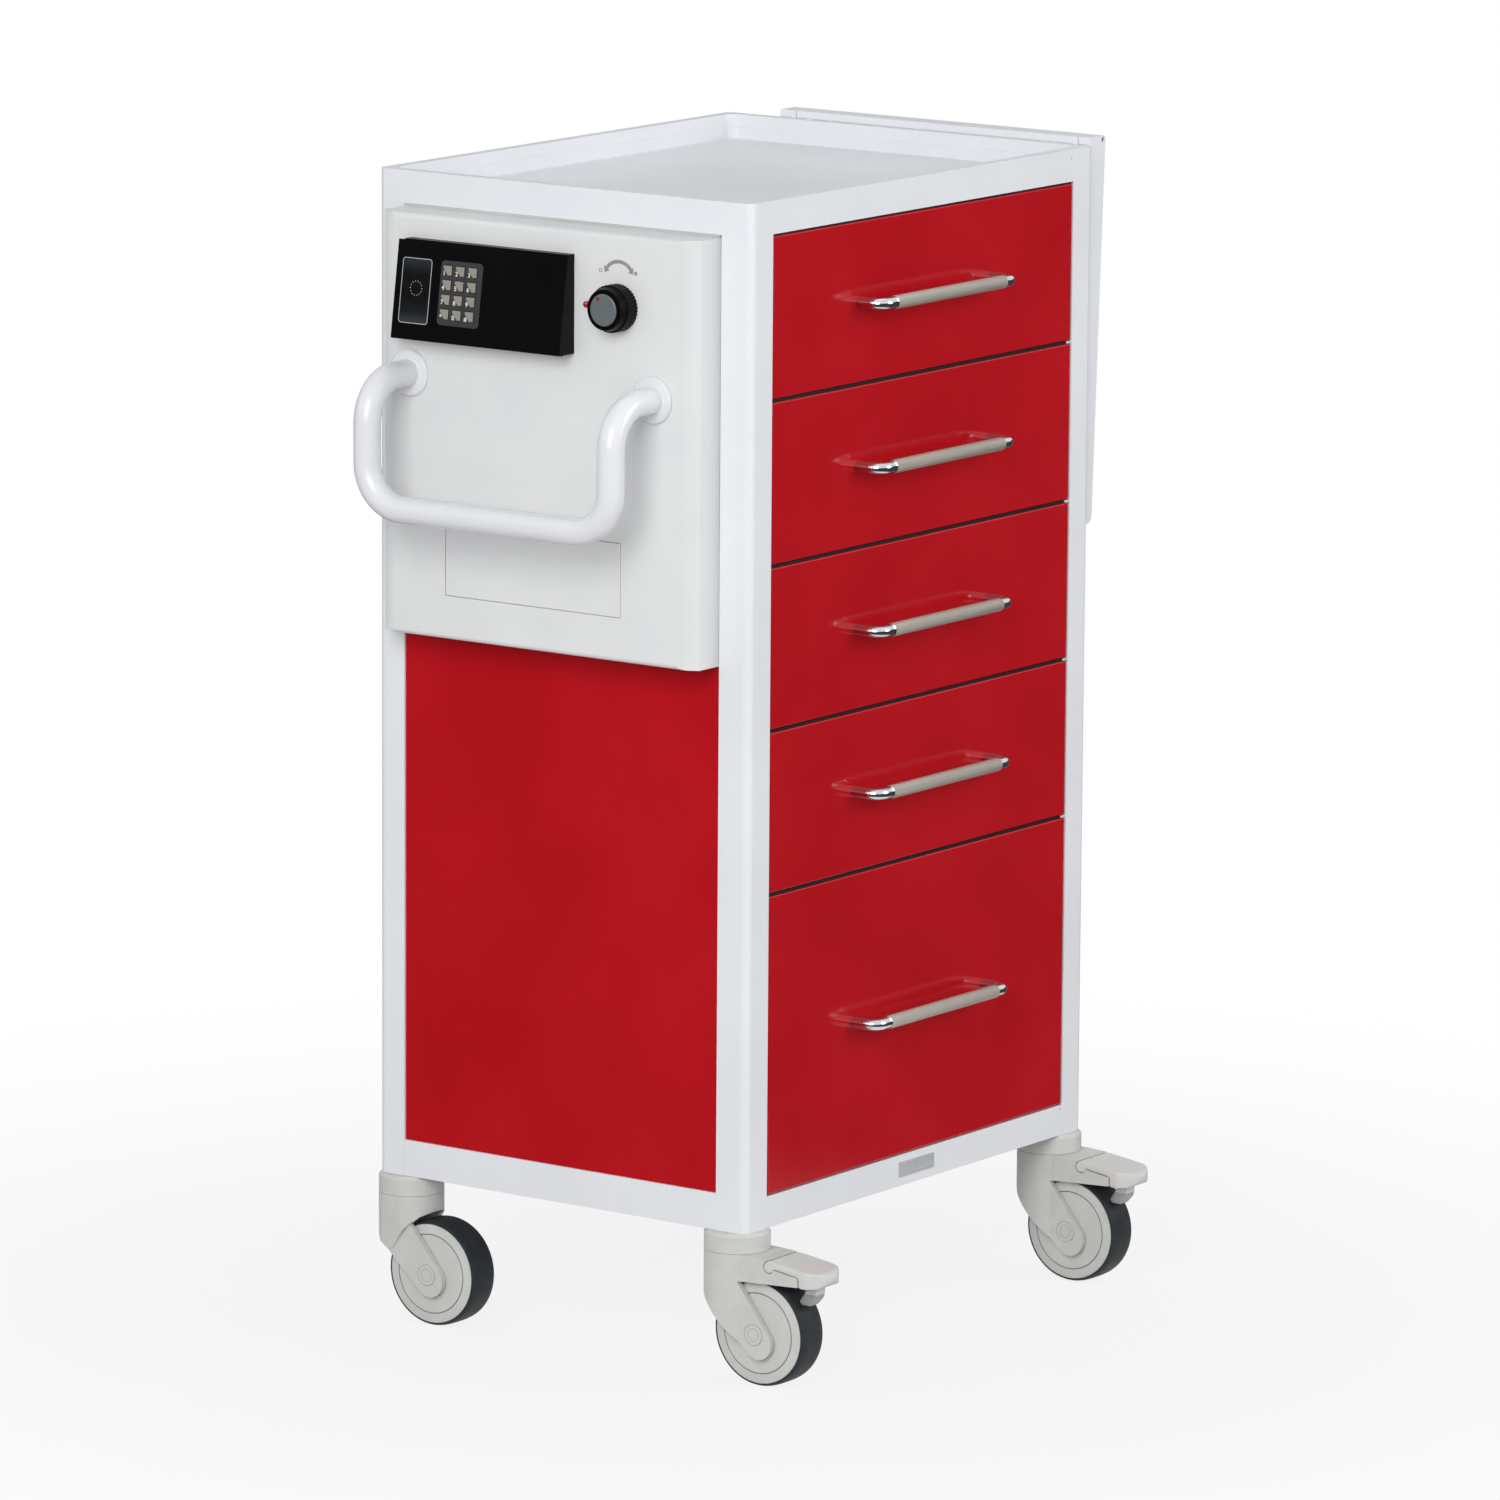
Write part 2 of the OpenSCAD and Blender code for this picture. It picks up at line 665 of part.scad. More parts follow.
module lock_housing() color(warm_white) on_cart() difference() {
    union() {
        difference() {
            housing_solid(0);
            housing_solid(housing_wall);
        }
        translate([-housing_out + 1, knob_y, knob_z]) rotate([0, 90, 0]) cylinder(h = 14, r = 9);
        for (p = board_bosses) translate([-housing_out + 1, p[0], p[1]]) rotate([0, 90, 0])
            cylinder(h = board_gap + housing_wall - 1, r = 4);
    }
    translate([-housing_out - 1, knob_y, knob_z]) rotate([0, 90, 0])
        cylinder(h = 20, r = shaft_r + run_clear);
    translate([-housing_out - 1, lamp_y, knob_z]) rotate([0, 90, 0])
        cylinder(h = housing_wall + 2, r = lamp_r);
    translate([-housing_out - 1, cover_y - cover_seam, cover_z - cover_seam])
        cube([1 + cover_t, cover_w + 2 * cover_seam, cover_h + 2 * cover_seam]);
    translate([-housing_out - 1, cover_y + 5, cover_z + 5])
        cube([housing_wall + 2, cover_w - 10, cover_h - 10]);
}

module service_cover() color(warm_white) on_cart()
    translate([-housing_out, cover_y, cover_z]) cube([cover_t, cover_w, cover_h]);

// Circuit board of the lock on four bosses, and the battery pack behind the service cover
board_gap = 6;
board_t = 1.6;
board_size = [case_w - 41, case_h - 28];
board_y = case_y + 30;
board_z = case_z + 14;
board_bosses = [for (y = [6, board_size[0] - 6], z = [6, board_size[1] - 6])
                [board_y + y, board_z + z]];
battery_size = [22, cover_w - 47, cover_h - 15];

module lock_electronics() color([0.12, 0.35, 0.20]) on_cart() {
    translate([-housing_out + housing_wall + board_gap, board_y, board_z])
        cube([board_t, board_size[0], board_size[1]]);
    for (y = [30, 60, 110]) translate([-housing_out + housing_wall + board_gap + board_t,
                                       board_y + y, board_z + 20]) cube([6, 18, 24]);
    translate([panel_recess - battery_size[0], push_y - battery_size[1] / 2, cover_z + 8])
        cube(battery_size);
}

// Electronic lock: the case's face leans back, so drawing on it starts at its lower edge

module on_case_face() translate([-housing_out - case_t_low, case_y, case_z])
    rotate([0, case_lean, 0]) children();

module case_profile(t) polygon([
    [t, 0], [-case_t_low, 0], [-case_t_top, case_h], [t, case_h]
]);

module lock_case() color(near_black) on_cart() difference() {
    union() {
        translate([-housing_out, case_y, case_z]) along_y(case_w - case_lip) case_profile(0);
        on_case_face() cube([case_cover_t, case_w, case_face_h - 1]);
    }
    on_case_face() translate([-1, 0, 0]) along_x(1 + pocket_d) {
        translate(reader_at - reader_size / 2) rounded_rect(reader_size, 3);
        translate(keypad_at - keypad_size / 2) rounded_rect(keypad_size, 4);
    }
    translate([-housing_out, 0, case_z - 1]) cube([case_cover_t + 20, body_d, case_h + 2]);
}

module card_reader() color([0.1, 0.1, 0.11]) on_cart() on_case_face()
    along_x(pocket_d) translate(reader_at - reader_size / 2) rounded_rect(reader_size, 3);

module keypad() color([0.3, 0.29, 0.3]) on_cart() on_case_face() translate([-0.4, 0, 0])
    along_x(pocket_d + 0.4) translate(keypad_at - keypad_size / 2) rounded_rect(keypad_size, 4);

module at_knob() translate([-housing_out, knob_y, knob_z]) rotate([0, -90, 0]) children();

// Knob, its axis along +Z here: a ribbed skirt, a smooth bezel and a seat for the cap
module knob() color(near_black) on_cart() at_knob() difference() {
    union() {
        translate([0, 0, 0.4]) linear_extrude(knob_skirt_h) difference() {
            circle(knob_r);
            for (k = [1:knob_flutes]) rotate(k * 360 / knob_flutes)
                translate([knob_r + 0.4, 0]) circle(1.1);
        }
        translate([0, 0, knob_skirt_h])
            cylinder(h = knob_h - knob_skirt_h - 1, r1 = knob_r - 1.2, r2 = knob_face_r);
        translate([0, 0, knob_h - 2]) cylinder(h = 2, r = knob_face_r - 0.8);
    }
    translate([0, 0, knob_h - 1.5]) cylinder(h = 2, r = knob_cap_r);
    translate([0, 0, -1]) cylinder(h = knob_h - 5, r = shaft_r);
}

module knob_cap() color([0.45, 0.46, 0.47]) on_cart() at_knob()
    translate([0, 0, knob_h - 1.5]) {
        cylinder(h = 1.5, r = knob_cap_r);
        translate([0, 0, 1.5]) cylinder(h = 0.8, r1 = knob_cap_r, r2 = knob_cap_r - 1.5);
    }

// Shaft with its crank disc, and the pin that lifts the lock bar
module knob_shaft() color(zinc) on_cart() {
    disc_x = bar_x - slide_clear - 4;
    translate([-housing_out - knob_h + 6, knob_y, knob_z]) rotate([0, 90, 0])
        cylinder(h = disc_x + housing_out + knob_h - 5, r = shaft_r);
    translate([disc_x, knob_y, knob_z]) rotate([0, 90, 0])
        cylinder(h = 4, r = crank_r + crank_pin_r + 0.5);
    translate([disc_x, knob_y + crank_r * cos(knob_turn / 2), knob_z - crank_r * sin(knob_turn / 2)])
        rotate([0, 90, 0]) cylinder(h = 4 + slide_clear + bar_t + 1, r = crank_pin_r);
}

// Lock bar with one finger for each drawer; at rest the fingers lie under the drawers' catches
module lock_bar() color(zinc) on_cart() {
    slot_z = knob_z - crank_r * sin(knob_turn / 2);
    difference() {
        translate([bar_x, bar_y - bar_w / 2, bar_low]) cube([bar_t, bar_w, bar_top - bar_low]);
        translate([bar_x - 1, bar_y - 5, slot_z - crank_pin_r - slide_clear / 2])
            cube([bar_t + 2, 10, 2 * crank_pin_r + slide_clear]);
    }
    for (i = drawer_list)
        translate([bar_x, bar_y - finger_d / 2, finger_z(i) - finger_h / 2])
            cube([post_w + finger_reach - bar_x, finger_d, finger_h]);
}

module indicator_lamp() color([0.8, 0.05, 0.06]) on_cart()
    translate([-housing_out, lamp_y, knob_z]) rotate([0, -90, 0]) {
        translate([0, 0, -housing_wall - 2]) cylinder(h = housing_wall + 3.5, r = lamp_r);
        translate([0, 0, 1.5]) difference() {
            sphere(lamp_r);
            translate([-5, -5, -10]) cube([10, 10, 10]);
        }
    }

module push_handle() color(white) on_cart()
    for (side = [-1, 1]) translate([0, push_y, flange_z]) {
        translate([-housing_out, side * push_span / 2, 0]) rotate([0, -90, 0]) {
            cylinder(h = flange_t - 1.5, r = flange_r);
            translate([0, 0, flange_t - 1.5]) cylinder(h = 1.5, r1 = flange_r, r2 = flange_r - 1.5);
            cylinder(h = push_out - push_bend, r = push_r);
        }
        translate([push_x + push_bend, side * push_span / 2, -push_bend]) rotate([90, 0, 0])
            rotate([0, 0, 90]) rotate_extrude(angle = 90) translate([push_bend, 0]) circle(push_r);
        if (side > 0) translate([push_x, 0, -push_bend]) rotate([90, 0, 90])
            bail(push_span, push_drop - push_bend, push_r, push_bend);
    }

// Drop-leaf table

// Section of the leaf in (x, z), drawn in by the given wall; its inner side is open
module leaf_profile(wall) {
    x = wall == 0 ? table_in : table_in - 1;
    intersection() {
        tapered_bar([pivot_x, pivot_z], knuckle_r - wall, [end_x, end_z], end_r - wall);
        translate([x, table_low]) square([table_t_hinge, table_l]);
    }
    polygon([[x, table_low + wall], [x, table_top - wall], [pivot_x, table_top - wall],
             [pivot_x, pivot_z], [end_x, end_z], [end_x, table_low + wall]]);
}

function ear_y(k) = k == 0 ? table_y + table_sheet + knuckle_l + ear_gap
                           : table_y + table_w - table_sheet - knuckle_l - ear_gap - ear_w;

module table_leaf() color(white) on_cart() difference() {
    union() {
        translate([0, table_y, 0]) difference() {
            along_y(table_w) leaf_profile(0);
            translate([0, table_sheet, 0]) along_y(table_w - 2 * table_sheet)
                leaf_profile(table_sheet);
        }
        translate([table_in, table_y, body_h + 0.6])
            cube([table_sheet, table_w, table_rise - 0.6]);
        for (y = [table_y, table_y + table_w - table_sheet - knuckle_l])
            translate([pivot_x, y, pivot_z]) rotate([-90, 0, 0])
                cylinder(h = table_sheet + knuckle_l, r = knuckle_r);
    }
    for (k = [0, 1]) translate([table_in - 2, ear_y(k) - ear_gap, body_h - 10])
        cube([table_t_hinge + 4, ear_w + 2 * ear_gap, 40]);
    translate([pivot_x, table_y - 1, pivot_z]) rotate([-90, 0, 0])
        cylinder(h = table_w + 2, r = hinge_pin_r + run_clear);
}

// Hinge ears on the tray's skirt, and the lugs of the stay on the side of the cabinet
module table_brackets() color(zinc) on_cart() {
    foot_h = 26;
    for (k = [0, 1]) difference() {
        union() {
            translate([0, ear_y(k), 0]) along_y(ear_w) {
                translate([pivot_x, pivot_z]) circle(knuckle_r);
                polygon([[body_w, pivot_z - knuckle_r], [body_w, table_top], [pivot_x, table_top],
                         [pivot_x, pivot_z - knuckle_r]]);
                polygon([[body_w, body_h - foot_h - 4], [body_w, pivot_z], [body_w + 10, pivot_z],
                         [body_w + 3, body_h - foot_h - 4]]);
            }
            translate([body_w, ear_y(k) - 6, body_h - foot_h - 4])
                cube([3, ear_w + 12, foot_h - 8]);
        }
        translate([pivot_x, ear_y(k) - 1, pivot_z]) rotate([-90, 0, 0])
            cylinder(h = ear_w + 2, r = hinge_pin_r);
    }
    for (side = [-1, 1])
        translate([0, stay_y + side * (stay_span / 2 + stay_end_l - lug_w / 2) - lug_w / 2, 0])
            along_y(lug_w) difference() {
                union() {
                    translate([stay_x, stay_z]) circle(stay_r + 3);
                    translate([body_w - panel_recess, stay_z - stay_r - 3])
                        square([stay_x - body_w + panel_recess, 2 * (stay_r + 3)]);
                }
                translate([stay_x, stay_z]) circle(stay_r + run_clear);
            }
}

module hinge_pins() color(chrome) on_cart()
    for (k = [0, 1]) translate([pivot_x, k == 0 ? table_y + 1 : ear_y(1), pivot_z])
        rotate([-90, 0, 0])
            cylinder(h = table_sheet + knuckle_l + ear_gap + ear_w - 1, r = hinge_pin_r);

// Stay: a rod bent to a U that hangs from its lugs, with its ends turned outwards
module table_stay() color(chrome) on_cart() translate([stay_x, stay_y, stay_z]) {
    rotate([90, 0, 90]) bail(stay_span, stay_l, stay_r, stay_bend);
    for (side = [-1, 1]) translate([0, side * stay_span / 2, 0]) {
        sphere(stay_r);
        rotate([side * -90, 0, 0]) cylinder(h = stay_end_l, r = stay_r);
    }
}

// Casters: 1 front left, 2 front right, 3 rear left, 4 rear right

function caster_at(i) = [corners[i - 1][0] == 0 ? caster_inset_x : body_w - caster_inset_x,
                         corners[i - 1][1] == 0 ? caster_inset_y : body_d - caster_inset_y];

module at_caster(i) translate([caster_at(i)[0], caster_at(i)[1], 0]) children();

// Extrudes a side view drawn in (t, z) symmetrically across the caster, t towards -Y
module across(width) rotate([0, 0, -90]) translate([0, width / 2, 0]) rotate([90, 0, 0])
    linear_extrude(width) children();

module caster_stems() color(caster_grey) on_cart() for (i = [1:4]) at_caster(i) {
    translate([0, 0, -cap_h]) cylinder(h = cap_h - 3, r = head_r);
    translate([0, 0, -3]) cylinder(h = 3, r1 = head_r, r2 = head_r - 2.5);
    translate([0, 0, head_z - 22]) cylinder(h = 22 - head_z + socket_h, r = stem_r);
}

// Side view of the head and the arm; a braked fork has the fender under its pedal
module fork_profile(braked) {
    tapered_bar(arm_root, arm_root_r, arm_tip, arm_tip_r);
    polygon([[-head_r - 2, head_z], [head_r + 2, head_z], [head_r + 2, head_z - 9], [18, -43],
             [10, -60], [-6, -56], [-head_r - 2, -52]]);
    if (braked) difference() {
        polygon([[head_r - 5, head_z], [pedal_at[0], head_z - 1.2], [pedal_at[0], -26.5],
                 [fender_end, -31], [fender_end, -39.5], [18, -43], [10, -35]]);
        translate(pedal_at) circle(pedal_knuckle_r + 0.3);
    }
}

// Plan of the fork: the round head and the narrower arms and fender
module fork_plan() {
    circle(head_r);
    translate([-fork_w / 2, -120]) square([fork_w, 120]);
}

module caster_fork(i) color(caster_grey) on_cart() at_caster(i) {
    braked = i <= 2;
    difference() {
        intersection() {
            across(2 * head_r + 2) fork_profile(braked);
            translate([0, 0, -140]) linear_extrude(140) fork_plan();
        }
        across(slot_w) translate([trail, axle_z]) circle(wheel_room);
        translate([0, 0, head_z - 24]) cylinder(h = 40, r = stem_r + run_clear);
    }
    across(fork_w - 1) translate([trail, axle_z]) circle(axle_r);
    for (side = [-1, 1]) translate([side * (fork_w / 2 + 0.2), 0, 0])
        across(1.2) translate([trail, axle_z]) circle(10);
    if (braked) {
        across(12) {
            translate(pedal_at) circle(pedal_knuckle_r);
            translate([pedal_at[0] - 10, pedal_at[1] - 9]) square([13, 6]);
        }
        across(40) translate(pedal_at) circle(2);
    }
}

// Brake pedal: a wedge with a round hinge end, a shoe over the tyre and a slot for the rib
module brake_pedal(i) color(caster_grey) on_cart() at_caster(i) difference() {
    union() {
        intersection() {
            across(2 * head_r) pedal_profile();
            translate([0, 0, -60]) linear_extrude(60) pedal_plan();
        }
        across(14) pedal_shoe();
    }
    across(12.6) translate(pedal_at) circle(pedal_knuckle_r + 0.3);
    across(12.6) translate([pedal_at[0] - 12, pedal_at[1] - 12]) square([15.5, 8]);
    across(41) translate(pedal_at) circle(2 + run_clear);
}

module pedal_profile() {
    top = pedal_at[1] + pedal_knuckle_r;
    difference() {
        polygon([[pedal_at[0], top], [pedal_at[0] + 20, top - 2.4], [pedal_tip - 6, top - 6.7],
                 [pedal_tip - 1.6, top - 9], [pedal_tip + 1, top - 13], [pedal_tip - 2, top - 18],
                 [pedal_tip - 6, top - 20.8], [pedal_tip - 19, top - 21], [fender_end + 0.6, top - 20],
                 [fender_end + 0.6, top - 11.2], [pedal_at[0] + 5, top - 7]]);
        translate(pedal_at) circle(pedal_knuckle_r - 0.5);
    }
    translate(pedal_at) circle(pedal_knuckle_r);
}

// The shoe hangs from the pedal on a short arm, close over the tyre
module pedal_shoe() {
    difference() {
        polygon([[fender_end + 2.5, -38], [fender_end + 11, -38], [fender_end + 9, -52],
                 [fender_end + 2, -60], [fender_end - 12, -60], [fender_end - 7.5, -52.5]]);
        translate([trail, axle_z]) circle(wheel_r + slide_clear);
    }
}

// Plan of the pedal: as wide as the fork, with a round nose
module pedal_plan() intersection() {
    nose_r = 27;
    translate([-fork_w / 2, -pedal_tip - 1]) square([fork_w, pedal_tip]);
    union() {
        translate([0, nose_r - pedal_tip]) circle(nose_r);
        translate([-fork_w, nose_r - pedal_tip]) square([2 * fork_w, pedal_tip]);
    }
}

// Wheel, drawn round its axle along +Z and turned to lie along X

module at_axle(i) at_caster(i) translate([0, -trail, axle_z]) rotate([0, 90, 0]) children();

module wheel_hub(i) color(caster_grey) on_cart() at_axle(i) rotate_extrude() {
    half = wheel_w / 2;
    bore = axle_r + run_clear;
    side = [
        [bore, half], [wheel_r - 13.2, half], [wheel_r - 13.2, half - 1], [wheel_r - 12.2, half - 1],
        [wheel_r - 12.2, half], [wheel_r - 3.3, half - 1.2], [wheel_r - 3.3, half - 4.5],
        [wheel_r - 8, half - 4.5]
    ];
    n = len(side);
    polygon(concat(side, [for (k = [1:n]) [side[n - k][0], -side[n - k][1]]]));
}

// Tyre: a crowned tread that grips a rib of the hub and lies over its shoulders
module tyre(i) color(tyre_blue) on_cart() at_axle(i) rotate_extrude() {
    half = wheel_w / 2 - 1.2;
    crown_r = 0.7 * wheel_r;
    difference() {
        intersection() {
            translate([wheel_r - crown_r, 0]) circle(crown_r, $fn = 128);
            translate([wheel_r - 8, -half]) square([8, 2 * half]);
        }
        for (s = [-1, 1]) translate([wheel_r - 9, s > 0 ? half - 3.3 : -half - 1])
            square([5.7, 4.3]);
    }
}

// One line for each node

corner_posts();
bottom_rails();
top_tray();
left_panel();
right_panel();
back_panel();
base_pan();
side_liners();
outer_runners();
lock_housing();
service_cover();
lock_case();
card_reader();
keypad();
push_handle();
indicator_lamp();
lock_electronics();
knob();
knob_cap();
knob_shaft();
lock_bar();
table_leaf();
table_brackets();
hinge_pins();
table_stay();
caster_stems();
for (i = [1:2]) brake_pedal(i);
for (i = drawer_list) drawer_front(i);
for (i = drawer_list) drawer_box(i);
for (i = drawer_list) drawer_handle(i);
for (i = drawer_list) middle_runner(i);
for (i = [1:4]) caster_fork(i);
for (i = [1:4]) wheel_hub(i);
for (i = [1:4]) tyre(i);
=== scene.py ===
"""Hospital crash cart: finishes, small fittings, printed marks, studio and camera round its frame."""

import math

import bmesh
import bpy
from mathutils import Matrix, Vector


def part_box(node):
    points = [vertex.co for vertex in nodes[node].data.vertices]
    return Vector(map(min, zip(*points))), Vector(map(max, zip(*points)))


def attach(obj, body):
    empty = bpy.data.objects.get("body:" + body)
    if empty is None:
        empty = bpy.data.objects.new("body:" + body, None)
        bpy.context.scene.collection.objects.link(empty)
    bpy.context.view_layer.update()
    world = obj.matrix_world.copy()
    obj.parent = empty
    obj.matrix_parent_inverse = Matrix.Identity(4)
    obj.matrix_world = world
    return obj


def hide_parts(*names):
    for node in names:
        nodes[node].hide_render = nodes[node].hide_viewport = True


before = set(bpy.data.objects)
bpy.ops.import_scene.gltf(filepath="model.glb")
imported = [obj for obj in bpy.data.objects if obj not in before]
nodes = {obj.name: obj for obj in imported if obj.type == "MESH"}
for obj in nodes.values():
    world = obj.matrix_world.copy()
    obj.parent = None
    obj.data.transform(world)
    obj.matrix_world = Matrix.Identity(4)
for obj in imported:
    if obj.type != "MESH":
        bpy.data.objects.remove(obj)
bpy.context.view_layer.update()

# Places on the cart

MM = 0.001
LEFT_FACE = -0.22875
FRONT_FACE = -0.17175
UNDERSIDE = 0.140
HOUSING_FACE = LEFT_FACE - 39 * MM
CASE_LEAN = math.radians(8.157)
DRAWERS = range(1, 6)
CASTERS = range(1, 5)
FRONT_CASTERS = (1, 2)


def cart(x, y, z):
    """Turns mm from the cabinet's left face, front face and underside into a place in the frame."""
    return Vector((LEFT_FACE + x * MM, FRONT_FACE + y * MM, UNDERSIDE + z * MM))


def middle(node):
    """The middle of a node's box in the frame."""
    low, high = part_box(node)
    return (low + high) / 2


def facing(origin, right, up):
    """A drawing board at a place: its x runs right, its y up and its z out of the surface."""
    right = Vector(right).normalized()
    up = Vector(up).normalized()
    board = Matrix((right, up, right.cross(up))).transposed().to_4x4()
    board.translation = origin
    return board


# Colour, nodes and finishes


def linear(hex_colour):
    """Turns an sRGB hex value into linear red, green, blue and alpha."""
    parts = [int(hex_colour[i:i + 2], 16) / 255 for i in (1, 3, 5)]
    return [p / 12.92 if p <= 0.04045 else ((p + 0.055) / 1.055) ** 2.4 for p in parts] + [1.0]


def per_mm(size):
    """The texture scale at which a pattern repeats about every given number of mm."""
    return 1 / (size * MM)


def add(tree, kind, sockets=None, **settings):
    """Adds a node with its settings; each socket takes a plain value or the output that feeds it."""
    node = tree.nodes.new("ShaderNode" + kind)
    for name, value in settings.items():
        setattr(node, name, value)
    for name, value in (sockets or {}).items():
        if isinstance(value, bpy.types.NodeSocket):
            tree.links.new(value, node.inputs[name])
        else:
            node.inputs[name].default_value = value
    return node


def start_finish(name, **sockets):
    """Starts a finish: its tree, its surface with plain values, and the place on the piece."""
    finish = bpy.data.materials.new(name)
    finish.use_nodes = True
    tree = finish.node_tree
    tree.nodes.clear()
    surface = add(tree, "BsdfPrincipled", {k.replace("_", " "): v for k, v in sockets.items()})
    add(tree, "OutputMaterial", {"Surface": surface.outputs["BSDF"]})
    place = add(tree, "TexCoord").outputs["Object"]
    return finish, tree, surface, place


def two_tone(tree, surface, factor, low, high, start=0.35, end=0.65):
    """Colours a surface from one hex value to another as the factor goes from start to end."""
    span = add(tree, "MapRange", {"Value": factor, "From Min": start, "From Max": end})
    shade = add(tree, "Mix", {"Factor": span.outputs["Result"], "A": linear(low), "B": linear(high)},
                data_type="RGBA")
    tree.links.new(shade.outputs["Result"], surface.inputs["Base Color"])
    return shade.outputs["Result"]


def vary_gloss(tree, surface, factor, low, high):
    """Lets the roughness wander between two values with a pattern."""
    span = add(tree, "MapRange", {"Value": factor, "From Min": 0.3, "From Max": 0.7,
                                  "To Min": low, "To Max": high})
    tree.links.new(span.outputs["Result"], surface.inputs["Roughness"])


def relief(tree, surface, height, depth_mm):
    """Raises the surface by a height pattern of the given depth in mm."""
    bump = add(tree, "Bump", {"Height": height, "Distance": depth_mm * MM, "Strength": 1.0})
    tree.links.new(bump.outputs["Normal"], surface.inputs["Normal"])


def powder_coat(name, low, high, gloss, sheen):
    # Polyester powder baked on folded sheet steel: the melt leaves a faint orange peel, a few mm
    # from crest to crest, which breaks up what it reflects, and the film is a little uneven.
    finish, tree, surface, place = start_finish(name, Roughness=gloss, IOR=1.5, Specular_IOR_Level=sheen)
    cloud = add(tree, "TexNoise", {"Vector": place, "Scale": per_mm(140), "Detail": 3.0})
    peel = add(tree, "TexNoise", {"Vector": place, "Scale": per_mm(2.6), "Detail": 2.0, "Roughness": 0.4})
    two_tone(tree, surface, cloud.outputs["Fac"], low, high)
    vary_gloss(tree, surface, cloud.outputs["Fac"], gloss - 0.03, gloss + 0.04)
    relief(tree, surface, peel.outputs["Fac"], 0.03)
    return finish


def grained_abs(name, low, high, gloss, sheen, grain_mm, grain_depth):
    # ABS moulded in a spark-eroded tool: the fine sand-like grain takes the shine off and leaves
    # a soft sheen. Real grain is about 0.2 mm, drawn coarser here so that it shows.
    finish, tree, surface, place = start_finish(name, Roughness=gloss, IOR=1.53, Specular_IOR_Level=sheen)
    cloud = add(tree, "TexNoise", {"Vector": place, "Scale": per_mm(90), "Detail": 2.0})
    grain = add(tree, "TexNoise", {"Vector": place, "Scale": per_mm(grain_mm), "Detail": 4.0,
                                   "Roughness": 0.6})
    two_tone(tree, surface, cloud.outputs["Fac"], low, high)
    vary_gloss(tree, surface, grain.outputs["Fac"], gloss - 0.04, gloss + 0.05)
    relief(tree, surface, grain.outputs["Fac"], grain_depth)
    return finish


def chrome_plate(name):
    # Decorative chrome over nickel on polished steel wire: a near mirror, slightly cool, with the
    # last drawing lines of the wire just breaking the reflection up.
    finish, tree, surface, place = start_finish(name, Metallic=1.0, Roughness=0.07)
    stretch = add(tree, "Mapping", {"Vector": place, "Scale": (0.1, 1.0, 1.0)})
    lines = add(tree, "TexNoise", {"Vector": stretch.outputs["Vector"], "Scale": per_mm(0.9), "Detail": 3.0})
    two_tone(tree, surface, lines.outputs["Fac"], "#c6c9cc", "#d6d9db")
    vary_gloss(tree, surface, lines.outputs["Fac"], 0.05, 0.10)
    return finish


def zinc_plate(name):
    # Bright zinc-plated strip steel: a pale blue-grey with a cloudy passivated skin that scatters
    # half of the light, and the fine rolling lines of the strip, a few tenths of a mm apart, drawn
    # at 1 mm so that they show.
    finish, tree, surface, place = start_finish(name, Metallic=0.5, Roughness=0.36)
    cloud = add(tree, "TexVoronoi", {"Vector": place, "Scale": per_mm(14), "Randomness": 1.0})
    stretch = add(tree, "Mapping", {"Vector": place, "Scale": (1.0, 0.06, 1.0)})
    lines = add(tree, "TexNoise", {"Vector": stretch.outputs["Vector"], "Scale": per_mm(1.0), "Detail": 2.0})
    two_tone(tree, surface, cloud.outputs["Distance"], "#b9bdbf", "#c6cacb", 0.1, 0.9)
    vary_gloss(tree, surface, lines.outputs["Fac"], 0.26, 0.42)
    relief(tree, surface, lines.outputs["Fac"], 0.02)
    return finish


def glass_filled_nylon(name, low, high):
    # Glass-filled nylon, moulded: warm grey with cloudy flow marks from the gate and a dry, very
    # fine skin where the fibres come near the surface.
    finish, tree, surface, place = start_finish(name, Roughness=0.46, IOR=1.53, Specular_IOR_Level=0.35)
    flow = add(tree, "TexNoise", {"Vector": place, "Scale": per_mm(35), "Detail": 3.0, "Distortion": 1.2})
    skin = add(tree, "TexNoise", {"Vector": place, "Scale": per_mm(0.7), "Detail": 3.0})
    two_tone(tree, surface, flow.outputs["Fac"], low, high)
    vary_gloss(tree, surface, flow.outputs["Fac"], 0.42, 0.52)
    relief(tree, surface, skin.outputs["Fac"], 0.03)
    return finish


def shod_nylon(name, low, high, shoe_top):
    # The pedal's nylon with the brake shoe moulded in at its foot: sintered steel, grey and dry,
    # pitted all over. Everything below shoe_top is shoe.
    finish = glass_filled_nylon(name, low, high)
    tree = finish.node_tree
    surface = tree.nodes["Principled BSDF"]
    nylon = surface.inputs["Base Color"].links[0].from_socket
    place = add(tree, "TexCoord").outputs["Object"]
    height = add(tree, "SeparateXYZ", {"Vector": place}).outputs["Z"]
    is_shoe = add(tree, "Math", {0: height, 1: shoe_top}, operation="LESS_THAN").outputs["Value"]
    pits = add(tree, "TexNoise", {"Vector": place, "Scale": per_mm(1.4)})
    steel = add(tree, "Mix", {"Factor": pits.outputs["Fac"], "A": linear("#8b8d8c"), "B": linear("#b0b2b1")},
                data_type="RGBA")
    shade = add(tree, "Mix", {"Factor": is_shoe, "A": nylon, "B": steel.outputs["Result"]}, data_type="RGBA")
    tree.links.new(shade.outputs["Result"], surface.inputs["Base Color"])
    metal = add(tree, "Math", {0: is_shoe, 1: 0.4}, operation="MULTIPLY").outputs["Value"]
    tree.links.new(metal, surface.inputs["Metallic"])
    return finish


